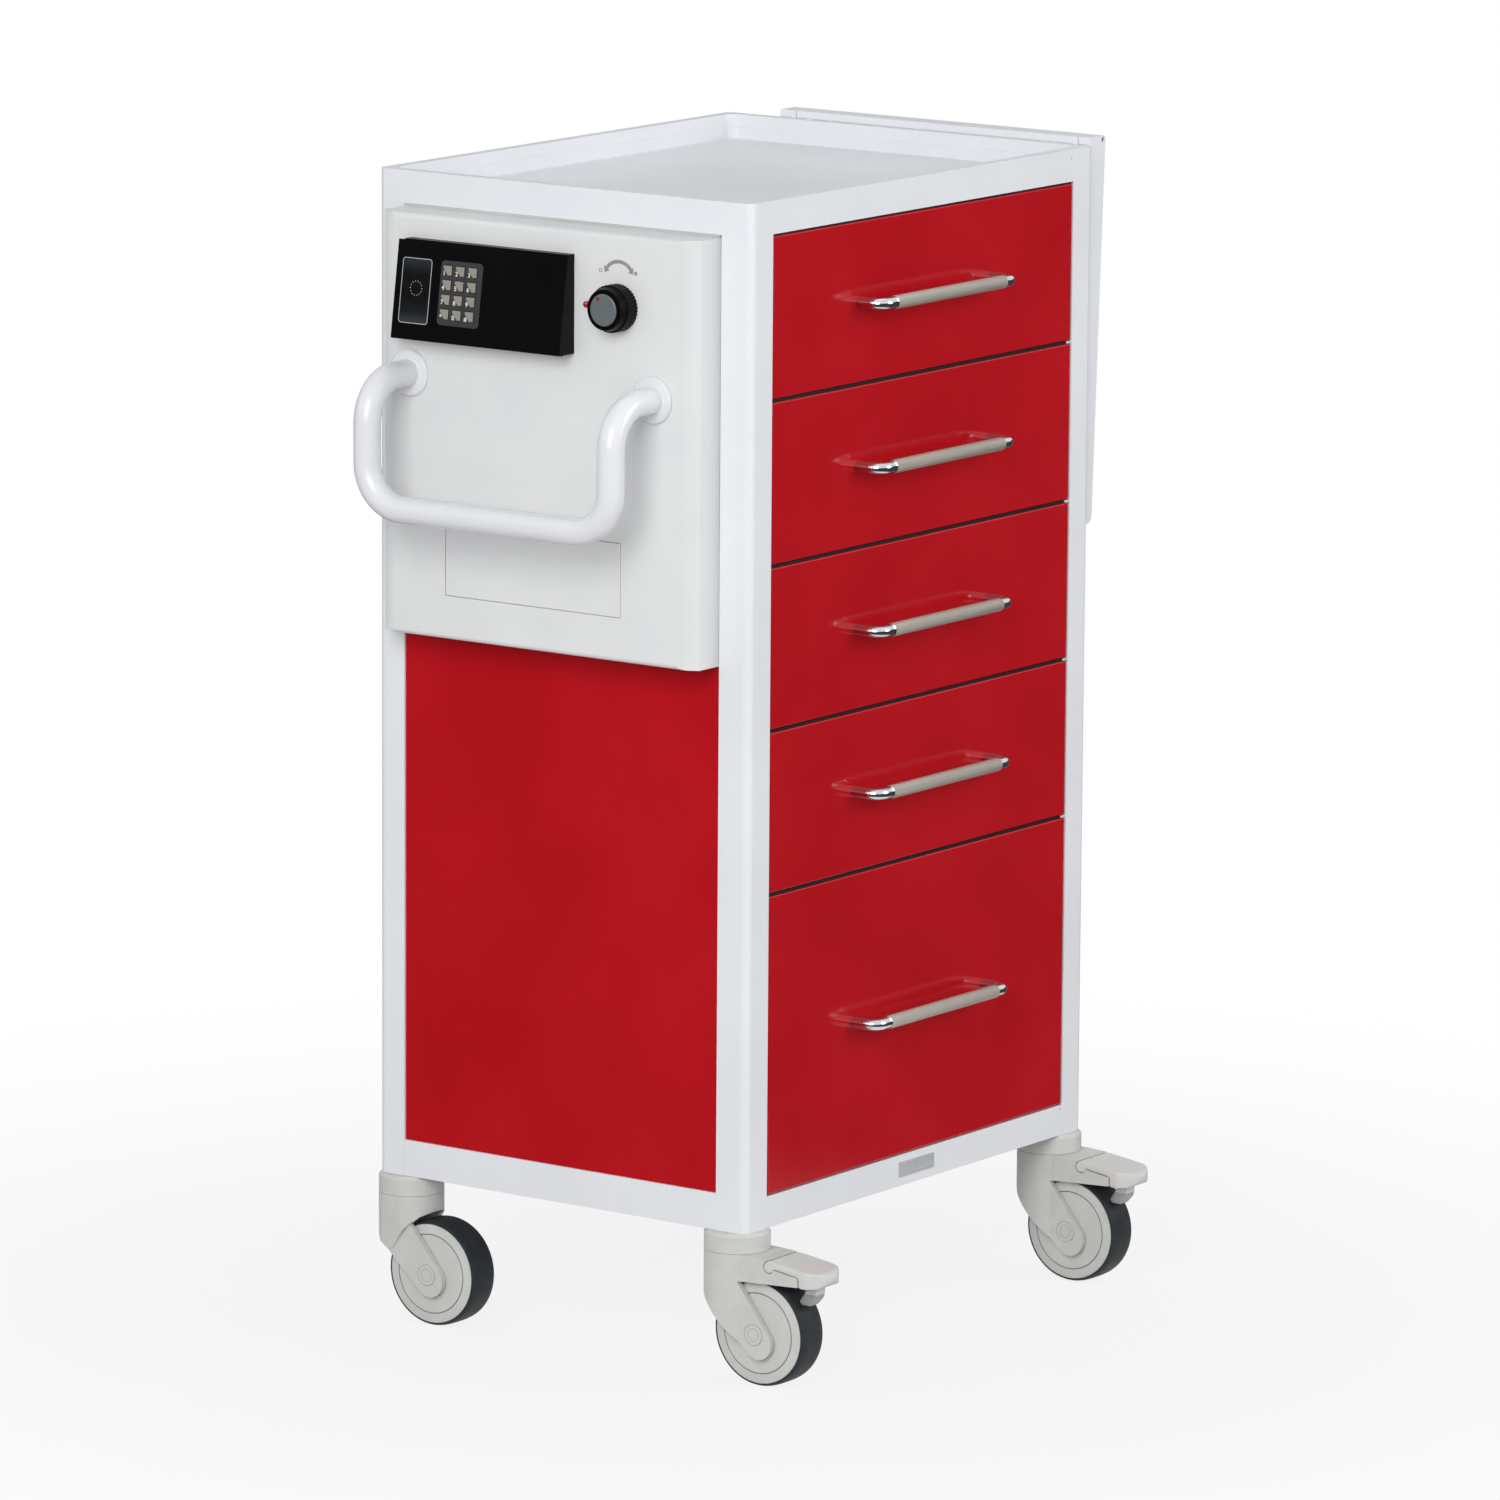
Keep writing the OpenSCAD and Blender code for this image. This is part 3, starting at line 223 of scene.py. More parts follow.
def tread_rubber(name):
    # Thermoplastic rubber moulded round the hub: blue-black and matt, with fine scuffs round the
    # tread where it has rolled and a slight bloom.
    finish, tree, surface, place = start_finish(name, Roughness=0.62, IOR=1.5, Specular_IOR_Level=0.25)
    bloom = add(tree, "TexNoise", {"Vector": place, "Scale": per_mm(22), "Detail": 4.0})
    stretch = add(tree, "Mapping", {"Vector": place, "Scale": (1.0, 0.15, 0.15)})
    scuff = add(tree, "TexNoise", {"Vector": stretch.outputs["Vector"], "Scale": per_mm(1.2), "Detail": 3.0})
    two_tone(tree, surface, bloom.outputs["Fac"], "#1f2326", "#2a3033")
    vary_gloss(tree, surface, bloom.outputs["Fac"], 0.54, 0.70)
    relief(tree, surface, scuff.outputs["Fac"], 0.06)
    return finish


def reader_glass(name):
    # Smoked acrylic, polished and printed on its back: black in the middle, with a blue-grey
    # band fading in from each end of the window.
    finish, tree, surface, place = start_finish(name, Roughness=0.09, IOR=1.49, Specular_IOR_Level=0.30)
    low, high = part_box("card_reader")
    height = add(tree, "SeparateXYZ", {"Vector": place}).outputs["Z"]
    along = add(tree, "MapRange", {"Value": height, "From Min": low.z, "From Max": high.z}).outputs["Result"]
    print_band = add(tree, "ValToRGB", {"Fac": along})
    ramp = print_band.color_ramp
    ramp.interpolation = "EASE"
    ramp.elements[0].color = linear("#30363a")
    ramp.elements[1].color = linear("#272c30")
    for at, colour in ((0.22, "#121517"), (0.4, "#050606"), (0.74, "#08090a")):
        ramp.elements.new(at).color = linear(colour)
    swirl = add(tree, "TexNoise", {"Vector": place, "Scale": per_mm(6), "Detail": 2.0})
    mixed = add(tree, "Mix", {"Factor": 0.01, "A": print_band.outputs["Color"],
                              "B": swirl.outputs["Color"]}, data_type="RGBA")
    tree.links.new(mixed.outputs["Result"], surface.inputs["Base Color"])
    vary_gloss(tree, surface, swirl.outputs["Fac"], 0.07, 0.12)
    return finish


def board_finish(name):
    # Glass-epoxy circuit board under a green lacquer, with its copper tracks showing through as
    # slightly lighter lines.
    finish, tree, surface, place = start_finish(name, Roughness=0.35, IOR=1.55)
    tracks = add(tree, "TexBrick", {"Vector": place, "Scale": per_mm(16), "Mortar Size": 0.05,
                                    "Color1": linear("#1d5a3a"), "Color2": linear("#226341"),
                                    "Mortar": linear("#3f8a60")})
    tree.links.new(tracks.outputs["Color"], surface.inputs["Base Color"])
    relief(tree, surface, tracks.outputs["Fac"], 0.05)
    return finish


def lens_red(name):
    # Clear red acrylic over a small lamp: deep colour, glossy, a little light scattered inside.
    finish, tree, surface, place = start_finish(name, Roughness=0.12, IOR=1.49, Coat_Weight=0.6,
                                                Coat_Roughness=0.04, Subsurface_Weight=0.25,
                                                Subsurface_Scale=0.002)
    depth = add(tree, "TexNoise", {"Vector": place, "Scale": per_mm(3), "Detail": 1.0})
    two_tone(tree, surface, depth.outputs["Fac"], "#9c1218", "#c01c22")
    return finish


def knurled_grip(name):
    # Turned steel sleeve, diamond-knurled and lacquered in a warm grey: two sets of fine cuts that
    # cross, 0.8 mm apart on the real one, drawn at 1.5 mm so that they show.
    finish, tree, surface, place = start_finish(name, Metallic=0.55, Roughness=0.36)
    part = add(tree, "SeparateXYZ", {"Vector": place})
    turn = add(tree, "Math", {0: part.outputs["Z"], 1: part.outputs["Y"]}, operation="ARCTAN2")
    round_it = add(tree, "Math", {0: turn.outputs["Value"], 1: 24.0}, operation="MULTIPLY")
    along_it = add(tree, "Math", {0: part.outputs["X"], 1: math.tau * per_mm(1.5)}, operation="MULTIPLY")
    one_way = add(tree, "Math", {0: round_it.outputs["Value"], 1: along_it.outputs["Value"]},
                  operation="ADD")
    other_way = add(tree, "Math", {0: round_it.outputs["Value"], 1: along_it.outputs["Value"]},
                    operation="SUBTRACT")
    first = add(tree, "Math", {0: one_way.outputs["Value"]}, operation="SINE")
    second = add(tree, "Math", {0: other_way.outputs["Value"]}, operation="SINE")
    diamond = add(tree, "Math", {0: first.outputs["Value"], 1: second.outputs["Value"]}, operation="ADD")
    # Darker in the cuts and lighter on the crests: painted shade in the grooves and painted highlight on the
    # crests.
    two_tone(tree, surface, diamond.outputs["Value"], "#9a968a", "#dedacf", -1.2, 1.4)
    relief(tree, surface, diamond.outputs["Value"], 0.12)
    return finish


def brushed_plate(name):
    # Anodised aluminium name plate, left blank: brushed along its length, so the shine is drawn
    # out across the brush lines.
    finish, tree, surface, place = start_finish(name, Metallic=0.35, Roughness=0.38)
    stretch = add(tree, "Mapping", {"Vector": place, "Scale": (0.04, 1.0, 1.0)})
    lines = add(tree, "TexNoise", {"Vector": stretch.outputs["Vector"], "Scale": per_mm(0.5), "Detail": 3.0})
    two_tone(tree, surface, lines.outputs["Fac"], "#b9bcbf", "#cdd0d3")
    vary_gloss(tree, surface, lines.outputs["Fac"], 0.3, 0.45)
    return finish


def print_ink(name, low, high):
    # Pad-printed ink: matt, very thin, with the slightly uneven cover of a single pass. The painted shade in
    # the seams is as matt, so the seams take it in their own colours.
    finish, tree, surface, place = start_finish(name, Roughness=0.55, IOR=1.5)
    cover = add(tree, "TexNoise", {"Vector": place, "Scale": per_mm(1.5), "Detail": 3.0})
    two_tone(tree, surface, cover.outputs["Fac"], low, high)
    return finish


CABINET_WHITE = powder_coat("satin_white_powder_coat", "#e2e4e7", "#e6e8eb", 0.36, 0.30)
CART_RED = powder_coat("semi_gloss_red_powder_coat", "#b01019", "#b8131d", 0.12, 0.28)
TUBE_WHITE = powder_coat("gloss_white_powder_coat", "#dfe1e4", "#e4e5e8", 0.18, 0.45)
HOUSING_WHITE = grained_abs("grained_white_abs", "#dcdddd", "#e0e1e0", 0.50, 0.25, 1.1, 0.03)
CASE_BLACK = grained_abs("grained_black_abs", "#040404", "#080808", 0.34, 0.09, 0.9, 0.03)
KEYPAD_GREY = grained_abs("keypad_dark_grey", "#38393b", "#3e3f41", 0.42, 0.20, 0.8, 0.02)
KEY_GREY = grained_abs("key_beige_grey", "#8e887e", "#9a948a", 0.48, 0.25, 0.6, 0.02)
KEY_SHADOW = grained_abs("painted_key_shade", "#101011", "#151516", 0.6, 0.10, 0.6, 0.02)
CAP_GREY = grained_abs("knob_cap_grey", "#5e6567", "#666d6f", 0.34, 0.25, 0.7, 0.015)
# The pale grey of the housing's seam is painted shade of the gap under the tray's rail.
HOUSING_SEAM_SHADE = grained_abs("pale_seam_shade", "#b4b9b5", "#bcc0bc", 0.6, 0.20, 0.8, 0.02)
LENS_RED = lens_red("red_lens")
READER = reader_glass("smoked_reader_window")
CHROME = chrome_plate("chrome_plate")
ZINC = zinc_plate("zinc_plate")
CASTER_GREY = glass_filled_nylon("caster_nylon", "#c6c8c3", "#cdcec9")
TYRE = tread_rubber("blue_black_tread_rubber")
SHOE_TOP = 0.0915
PEDAL_GREY = shod_nylon("pedal_nylon", "#ccceca", "#d3d4cf", SHOE_TOP)
BOARD = board_finish("green_circuit_board")
GRIP = knurled_grip("knurled_grip_sleeve")
PLATE = brushed_plate("brushed_blank_plate")
WHITE_INK = print_ink("white_print", "#dcdcda", "#e8e8e6")
GREY_INK = print_ink("grey_print", "#8d8c87", "#979691")
RED_INK = print_ink("dark_red_print", "#7c1a1c", "#8c1e20")
RIM_INK = print_ink("pale_rim_print", "#a3a7aa", "#b0b4b6")
# The black of the drawer seams is painted shade: a dark strip put into each gap to darken it.
GAP_SHADE_BLACK = print_ink("painted_gap_shade", "#060606", "#0b0b0b")
# The grey of the hub's seam and of the rings round each axle's cap is painted shade, not ink.
GROOVE_SHADE_GREY = print_ink("hub_seam_shade", "#6f6e68", "#7a7972")
RIVET_STEEL = zinc_plate("dark_steel_pin")

# Finishes on the frame's own pieces, by the start of their names

FINISH_OF = {
    "corner_posts": CABINET_WHITE, "bottom_rails": CABINET_WHITE, "top_tray": CABINET_WHITE,
    "back_panel": CABINET_WHITE, "table_leaf": CABINET_WHITE, "left_panel": CART_RED,
    "right_panel": CART_RED, "drawer_front": CART_RED, "lock_housing": HOUSING_WHITE,
    "service_cover": HOUSING_WHITE, "lock_case": CASE_BLACK, "knob_cap": CAP_GREY,
    "knob_shaft": ZINC, "knob": CASE_BLACK, "card_reader": READER, "keypad": KEYPAD_GREY,
    "indicator_lamp": LENS_RED, "push_handle": TUBE_WHITE, "drawer_handle": CHROME,
    "table_stay": CHROME, "table_brackets": CABINET_WHITE, "hinge_pins": CHROME,
    "caster_stems": CASTER_GREY, "caster_fork": CASTER_GREY, "brake_pedal": PEDAL_GREY,
    "wheel_hub": CASTER_GREY, "tyre": TYRE, "lock_electronics": BOARD,
}

# How far the arris of each piece is eased, mm: a fold in sheet, a moulded or a machined edge

EASE_OF = {
    "corner_posts": 0.8, "bottom_rails": 0.6, "top_tray": 0.8, "back_panel": 0.5, "table_leaf": 1.0,
    "left_panel": 0.6, "right_panel": 0.6, "drawer_front": 0.7, "lock_housing": 1.2,
    "service_cover": 0.5, "lock_case": 0.8, "knob_cap": 0.3, "knob": 0.3, "push_handle": 0.4,
    "caster_stems": 0.6, "wheel_hub": 0.4,
}


def by_start(table, name, otherwise):
    """Looks a node up in a table by the longest name that it starts with."""
    starts = [start for start in table if name.startswith(start)]
    return table[max(starts, key=len)] if starts else otherwise


def ease_edges(piece, width_mm):
    """Rounds the sharp arrises of a piece, as bending, moulding or powder leaves them."""
    weld = piece.modifiers.new("join_faces", "WELD")
    weld.merge_threshold = 0.01 * MM
    bevel = piece.modifiers.new("eased_arris", "BEVEL")
    bevel.offset_type = "WIDTH"
    bevel.width = width_mm * MM
    bevel.segments = 2
    bevel.limit_method = "ANGLE"
    bevel.angle_limit = math.radians(32)
    bevel.use_clamp_overlap = True
    bevel.harden_normals = False
    shade = piece.modifiers.new("even_shading", "WEIGHTED_NORMAL")
    shade.mode = "FACE_AREA"
    shade.weight = 50


for name, node in nodes.items():
    node.data.materials.clear()
    node.data.materials.append(by_start(FINISH_OF, name, ZINC))
    width = by_start(EASE_OF, name, 0)
    if width:
        ease_edges(node, width)

# The pedal levers are mouldings with full round edges, so their corners are melted down a little.
for i in FRONT_CASTERS:
    lever = nodes[f"brake_pedal_{i}"]
    lever.modifiers.clear()
    even = lever.modifiers.new("even_mesh", "REMESH")
    even.mode = "VOXEL"
    even.voxel_size = 0.9 * MM
    even.use_smooth_shade = True
    soft = lever.modifiers.new("full_round_edges", "SMOOTH")
    soft.factor = 0.5
    soft.iterations = 9

# Small pieces


def make_piece(name, shape, finish, body, smooth_angle=30):
    """Turns a drawn shape into a piece with its finish that rides on a body."""
    mesh = bpy.data.meshes.new(name)
    bmesh.ops.recalc_face_normals(shape, faces=shape.faces)
    shape.to_mesh(mesh)
    shape.free()
    mesh.materials.append(finish)
    piece = bpy.data.objects.new(name, mesh)
    bpy.context.scene.collection.objects.link(piece)
    mesh.shade_smooth()
    mesh.set_sharp_from_angle(angle=math.radians(smooth_angle))
    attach(piece, body)
    return piece


def rounded(width, height, radius, steps=6):
    """The outline of a rounded rectangle about its middle, in mm."""
    points = []
    for corner, (sx, sy) in enumerate(((1, 1), (-1, 1), (-1, -1), (1, -1))):
        for step in range(steps + 1):
            turn = (corner + step / steps) * math.pi / 2
            points.append((sx * (width / 2 - radius) + radius * math.cos(turn),
                           sy * (height / 2 - radius) + radius * math.sin(turn)))
    return points


def circle(radius, steps=32, at=(0, 0)):
    """The outline of a disc, in mm."""
    turns = [k * math.tau / steps for k in range(steps)]
    return [(at[0] + radius * math.cos(turn), at[1] + radius * math.sin(turn)) for turn in turns]


def pad(shape, board, outline, foot, face, crown=0.0, inset=0.0):
    """Draws a raised pad on a board from foot to face; its edge steps in and up by a small crown."""
    count = len(outline)
    mid_x = sum(p[0] for p in outline) / count
    mid_y = sum(p[1] for p in outline) / count
    reach = max(max(abs(p[0] - mid_x), abs(p[1] - mid_y)) for p in outline)
    rows = [(0, foot), (0, face - crown), (inset, face)] if crown else [(0, foot), (0, face)]
    rings = []
    for draw_in, level in rows:
        scale = 1 - draw_in / reach
        rings.append([shape.verts.new(board @ Vector((mid_x + (x - mid_x) * scale,
                                                      mid_y + (y - mid_y) * scale, level)))
                      for x, y in outline])
    for low, high in zip(rings, rings[1:]):
        for k in range(count):
            shape.faces.new((low[k], low[(k + 1) % count], high[(k + 1) % count], high[k]))
    shape.faces.new(rings[-1])
    shape.faces.new(list(reversed(rings[0])))


def band(shape, board, outer, inner, foot, face):
    """Draws a flat band between two outlines with the same number of points."""
    count = len(outer)
    rings = [[shape.verts.new(board @ Vector((x, y, level))) for x, y in line]
             for line, level in ((outer, foot), (outer, face), (inner, face), (inner, foot))]
    for one, other in zip(rings, rings[1:] + rings[:1]):
        for k in range(count):
            shape.faces.new((one[k], one[(k + 1) % count], other[(k + 1) % count], other[k]))


def turned(shape, board, profile, steps=48):
    """Turns a profile of (radius, height) points in mm round a board's z."""
    rings = [[shape.verts.new(board @ Vector((r * math.cos(k * math.tau / steps),
                                              r * math.sin(k * math.tau / steps), h)))
              for k in range(steps)] for r, h in profile]
    for low, high in zip(rings, rings[1:]):
        for k in range(steps):
            shape.faces.new((low[k], low[(k + 1) % steps], high[(k + 1) % steps], high[k]))
    shape.faces.new(list(reversed(rings[0])))
    shape.faces.new(rings[-1])


def in_mm(board):
    """A board whose drawings are in mm."""
    return board @ Matrix.Scale(MM, 4)


# Lock case: boards on its leaning face, where x runs to the front of the cart and y up the face.
# The printed rim and dots of the reader stand a hair proud of its window.

FACE_UP = Vector((math.sin(CASE_LEAN), 0, math.cos(CASE_LEAN)))
FACE_OUT = Vector((-math.cos(CASE_LEAN), 0, math.sin(CASE_LEAN)))


def on_lock_face(node, thickness):
    """A board in mm on the front of a flat node let into the leaning face."""
    return in_mm(facing(middle(node) + FACE_OUT * thickness / 2 * MM, (0, -1, 0), FACE_UP))


reader_board = on_lock_face("card_reader", 1.2)
keypad_board = on_lock_face("keypad", 1.6)

shape = bmesh.new()
band(shape, reader_board, rounded(33.4, 59.4, 3.2), rounded(32.0, 58.0, 2.5), -0.2, 0.12)
make_piece("reader_rim_line", shape, RIM_INK, "cart")

DOT_RING_R = 6.5
DOT_RING_AT = (0.7, 2.5)
shape = bmesh.new()
for x, y in circle(DOT_RING_R, 14, DOT_RING_AT):
    pad(shape, reader_board, circle(0.5, 10, (x, y)), -0.2, 0.05)
make_piece("reader_dot_ring", shape, RIM_INK, "cart")

KEY_W, KEY_H = 9.4, 8.7
KEY_PITCH_X, KEY_PITCH_Y = 14.1, 13.2
KEY_X0, KEY_Y0 = -15.9, 20.3
KEY_CUT = [(-KEY_W / 2, KEY_H / 2), (-KEY_W / 2, KEY_H / 2 - 0.25 * KEY_H),
           (KEY_W / 2 - 0.42 * KEY_W, -KEY_H / 2), (KEY_W / 2, -KEY_H / 2), (KEY_W / 2, KEY_H / 2)]
DIGITS = ("1", "2", "3", "4", "5", "6", "7", "8", "9", "*", "0", "#")
DIGIT_HEIGHT = 4.2
SIZE_PER_HEIGHT = 1.38


def key_place(k):
    """The middle of a key on the keypad, in mm."""
    return KEY_X0 + KEY_PITCH_X * (k % 3), KEY_Y0 - KEY_PITCH_Y * (k // 3)


def grow(outline, by):
    """An outline about the middle, stretched outwards by some mm."""
    return [(x + math.copysign(by, x), y + math.copysign(by, y)) for x, y in outline]


# Each key stands in a black ring a little larger than itself: painted shade of the recess round the key.
recess = bmesh.new()
keys = bmesh.new()
for k in range(12):
    kx, ky = key_place(k)
    board = keypad_board @ Matrix.Translation((kx, ky, 0))
    pad(recess, board, grow(KEY_CUT, 0.7), -0.2, 0.05)
    pad(keys, board, KEY_CUT, -0.2, 0.75, 0.3, 0.35)
make_piece("keypad_shade_rings", recess, KEY_SHADOW, "cart")
make_piece("keypad_keys", keys, KEY_GREY, "cart", 20)


def digits_shape(words):
    """The digits drawn as flat shapes: a list of (character, board) goes into one mesh."""
    shape = bmesh.new()
    for character, board in words:
        curve = bpy.data.curves.new("digit", "FONT")
        curve.body = character
        curve.size = DIGIT_HEIGHT * SIZE_PER_HEIGHT
        curve.extrude = 0.05
        curve.offset = 0.1
        curve.align_x = "CENTER"
        curve.align_y = "CENTER"
        text = bpy.data.objects.new("digit", curve)
        mesh = bpy.data.meshes.new_from_object(text)
        mesh.transform(board)
        shape.from_mesh(mesh)
        bpy.data.objects.remove(text)
        bpy.data.meshes.remove(mesh)
    return shape


beside_key = Vector((-3.7, -2.6, 0.25))
shape = digits_shape([(digit, keypad_board @ Matrix.Translation(Vector((*key_place(k), 0)) + beside_key))
                      for k, digit in enumerate(DIGITS)])
make_piece("keypad_digits", shape, WHITE_INK, "cart")

# Knob: a red dot on its cap, and the printed marks on the housing above it

knob_middle = middle("knob_cap")
cap_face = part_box("knob_cap")[0].x
knob_board = in_mm(facing(Vector((cap_face, knob_middle.y, knob_middle.z)), (0, -1, 0), (0, 0, 1)))
DOT_R = 11.3
DOT_TURN = math.radians(120)
shape = bmesh.new()
pad(shape, knob_board, circle(1.9, 24, (DOT_R * math.cos(DOT_TURN), DOT_R * math.sin(DOT_TURN))), -0.2, 0.08)
make_piece("knob_pointer_dot", shape, RED_INK, "knob")

mark_board = in_mm(facing(Vector((HOUSING_FACE, knob_middle.y, knob_middle.z)), (0, -1, 0), (0, 0, 1)))
PRINT = 0.12
ARC_UP = 24.2
ARC_R = 17.0
ARC_HALF = 3.3 / 2
ARC_SWEEP = 52
TIP_SWEEP = 68
BARB_HALF = 3.9


def on_arc(radius, degrees):
    """A point of the turn arrow, its degrees from the top towards the front, in mm on the board."""
    turn = math.radians(90 - degrees)
    return radius * math.cos(turn), ARC_UP + radius * math.sin(turn)


shape = bmesh.new()
rows = [[shape.verts.new(mark_board @ Vector((*on_arc(radius, ARC_SWEEP * (k / 12 - 1)), PRINT)))
         for k in range(25)] for radius in (ARC_R + ARC_HALF, ARC_R - ARC_HALF)]
for k in range(24):
    shape.faces.new((rows[0][k], rows[0][k + 1], rows[1][k + 1], rows[1][k]))
for side in (-1, 1):
    barbs = [on_arc(ARC_R + BARB_HALF, side * ARC_SWEEP), on_arc(ARC_R - BARB_HALF, side * ARC_SWEEP),
             on_arc(ARC_R, side * TIP_SWEEP)]
    shape.faces.new([shape.verts.new(mark_board @ Vector((x, y, PRINT))) for x, y in barbs])
make_piece("knob_turn_arrow", shape, GREY_INK, "cart")

shape = bmesh.new()
for across in (-20.0, 18.8):
    board = mark_board @ Matrix.Translation((across, 32.0, 0))
    if across < 0:
        band(shape, board, rounded(3.4, 3.4, 0.4, 3), rounded(2.0, 2.0, 0.2, 3), 0.0, PRINT)
    else:
        pad(shape, board, rounded(3.2, 3.2, 0.4, 3), 0.0, PRINT)
make_piece("knob_end_marks", shape, GREY_INK, "cart")

# Housing: a pale grey strip fills the seam under the tray's rail, painted shade of the gap there

housing_low, housing_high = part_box("lock_housing")
rail_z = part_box("top_tray")[0].z
seam_middle = Vector((LEFT_FACE, (housing_low.y + housing_high.y) / 2, (housing_high.z + rail_z) / 2))
length = (housing_high.y - housing_low.y) / MM - 1
height = (rail_z - housing_high.z) / MM - 0.1
shape = bmesh.new()
pad(shape, in_mm(facing(seam_middle, (0, -1, 0), (0, 0, 1))), rounded(length, height, 0.5, 3), -1.8, 1.5)
make_piece("housing_top_shade_strip", shape, HOUSING_SEAM_SHADE, "cart")

# Drawer handles: a knurled sleeve over the middle of each, drawn as (radius, place along the grip)
# in mm, on the wire's middle line

WIRE_R = 5.9
SLEEVE = [(5.2, -86.5), (5.95, -86.5), (6.2, -85.8), (6.2, 85.8), (5.95, 86.5), (5.2, 86.5)]
for i in DRAWERS:
    low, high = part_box(f"drawer_handle_{i}")
    centre = Vector(((low.x + high.x) / 2, low.y + WIRE_R * MM, (low.z + high.z) / 2))
    sleeve_board = Matrix.Scale(MM, 4) @ Matrix.Rotation(math.pi / 2, 4, "Y")
    shape = bmesh.new()
    turned(shape, sleeve_board, SLEEVE, 40)
    sleeve = make_piece(f"handle_grip_sleeve_{i}", shape, GRIP, f"drawer_{i}")
    sleeve.matrix_world = Matrix.Translation(centre)

# Drawer fronts: a black strip on the upper fold of each, set back in the seam above it, is painted shade that
# darkens the gap

TOP_SEAM = 3.0
STRIP_SET_BACK = 1.0
STRIP_DEPTH = 9
undersides = [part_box(f"drawer_front_{i}")[0].z for i in DRAWERS]
for i in DRAWERS:
    low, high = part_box(f"drawer_front_{i}")
    seam = min([z - high.z for z in undersides if z > high.z], default=TOP_SEAM * MM)
    strip_middle = Vector(((low.x + high.x) / 2, low.y + STRIP_SET_BACK * MM, high.z + seam / 2))
    width = (high.x - low.x) / MM - 2
    shape = bmesh.new()
    pad(shape, in_mm(facing(strip_middle, (1, 0, 0), (0, 0, 1))),
        rounded(width, max(seam / MM - 0.5, 0.8), 0.3, 2), -STRIP_DEPTH, 0.0)
    make_piece(f"drawer_gap_shade_{i}", shape, GAP_SHADE_BLACK, f"drawer_{i}")

# Table: the hem of its hinge skirt, in the three spans between the brackets

HEM_X, HEM_Z = 0.3159, 1.078375
shape = bmesh.new()
for start, end in ((-165.7, -153.8), (-146.8, 169.2), (176.2, 188.3)):
    board = in_mm(facing(Vector((HEM_X, (start + end) / 2 * MM, HEM_Z)), (0, -1, 0), (0, 0, 1)))
    pad(shape, board, rounded(end - start, 0.65, 0.2, 2), -1.8, 0.0)
make_piece("table_hem", shape, CABINET_WHITE, "table")

# Front: a blank plate on the bottom rail, blind rivets in the right post, a buffer at each seam's
# end. Places are in mm from the cabinet's left, front and underside.

shape = bmesh.new()
pad(shape, in_mm(facing(cart(270, 0, 15.4), (1, 0, 0), (0, 0, 1))), rounded(57.2, 14.4, 0.8, 4),
    -0.2, 0.5, 0.2, 0.2)
make_piece("blank_plate", shape, PLATE, "cart")

shape = bmesh.new()
for height in (929.6, 25.6):
    pad(shape, in_mm(facing(cart(507, 0, height), (1, 0, 0), (0, 0, 1))), circle(1.0, 16), -0.2, 0.1)
make_piece("front_rivets", shape, RIVET_STEEL, "cart")

shape = bmesh.new()
for seam in (758, 608, 458, 308):
    pad(shape, in_mm(facing(cart(507.2, 0.6, seam - 0.5), (1, 0, 0), (0, 0, 1))), rounded(7.0, 2.2, 0.8, 4),
        -14, 0.0, 0.3, 0.3)
make_piece("seam_buffers", shape, CASTER_GREY, "cart")

# Casters: forks, tyres with full shoulders, and thin grey rings of painted shade in the seam of each hub's
# disc and round each axle's cap

HUB_HALF = 17.5
HUB_R = 46.7
HUB_SEAM_R = 36.8
TYRE_R = 50.0
TYRE_HALF = 16.9
TYRE_FOOT_HALF = 13.0
TYRE_FOOT = 5.0


def ring(shape, board, profile, steps=96):
    """Turns a closed profile of (radius, height) points in mm round a board's z."""
    rows = [[shape.verts.new(board @ Vector((r * math.cos(k * math.tau / steps),
                                             r * math.sin(k * math.tau / steps), h)))
             for k in range(steps)] for r, h in profile]
    for low, high in zip(rows, rows[1:] + rows[:1]):
        for k in range(steps):
            shape.faces.new((low[k], low[(k + 1) % steps], high[(k + 1) % steps], high[k]))


def groove(inner, outer, foot, face):
    """The profile of a thin ring, in mm."""
    return [(inner, foot), (inner, face), (outer, face), (outer, foot)]


# Forks, in mm from the swivel axis at the underside of the cabinet, u towards the wheel and v up.
# The rear ones are drawn in full: a round head that runs down to the tyre, and two arms.

HEAD_R = 30.5
HEAD_TOP = -18.3
HEAD_DRAFT = 80
ACROSS = 40
AXLE = (36.0, -90.0)
CAP_R, CAP_PROUD = 10, 0.8
TYRE_ROOM = 54.0
FORK_HALF, SLOT_HALF = 24.0, 18.7
ARM_ROOT, ARM_ROOT_R = (5.9, -60.5), 18.6
ARM_TIP, ARM_TIP_R = (38.9, -95.6), 15.2
SKIRT = [(-34, -17), (34, -17), (34, -32), (24.2, -37.6), (18.6, -42.4),
         (12, -48.5), (-3, -69), (-7.5, -72.5), (-13, -68), (-20, -61.5),
         (-26.5, -54.5), (-30.3, -47.5), (-34, -38)]
OUTSIDE = [(-50, -47), (-30.6, -47), (-26.5, -54.5), (-20, -61.5), (-13, -68), (-6.9, -74),
           (29.65, -108.86), (30.64, -109.72), (31.7, -110.52), (31.7, -130), (-50, -130)]
TAPER = [(-31, -17), (31, -17), (31, -44), (23.2, -76), (-23.2, -76), (-31, -44)]


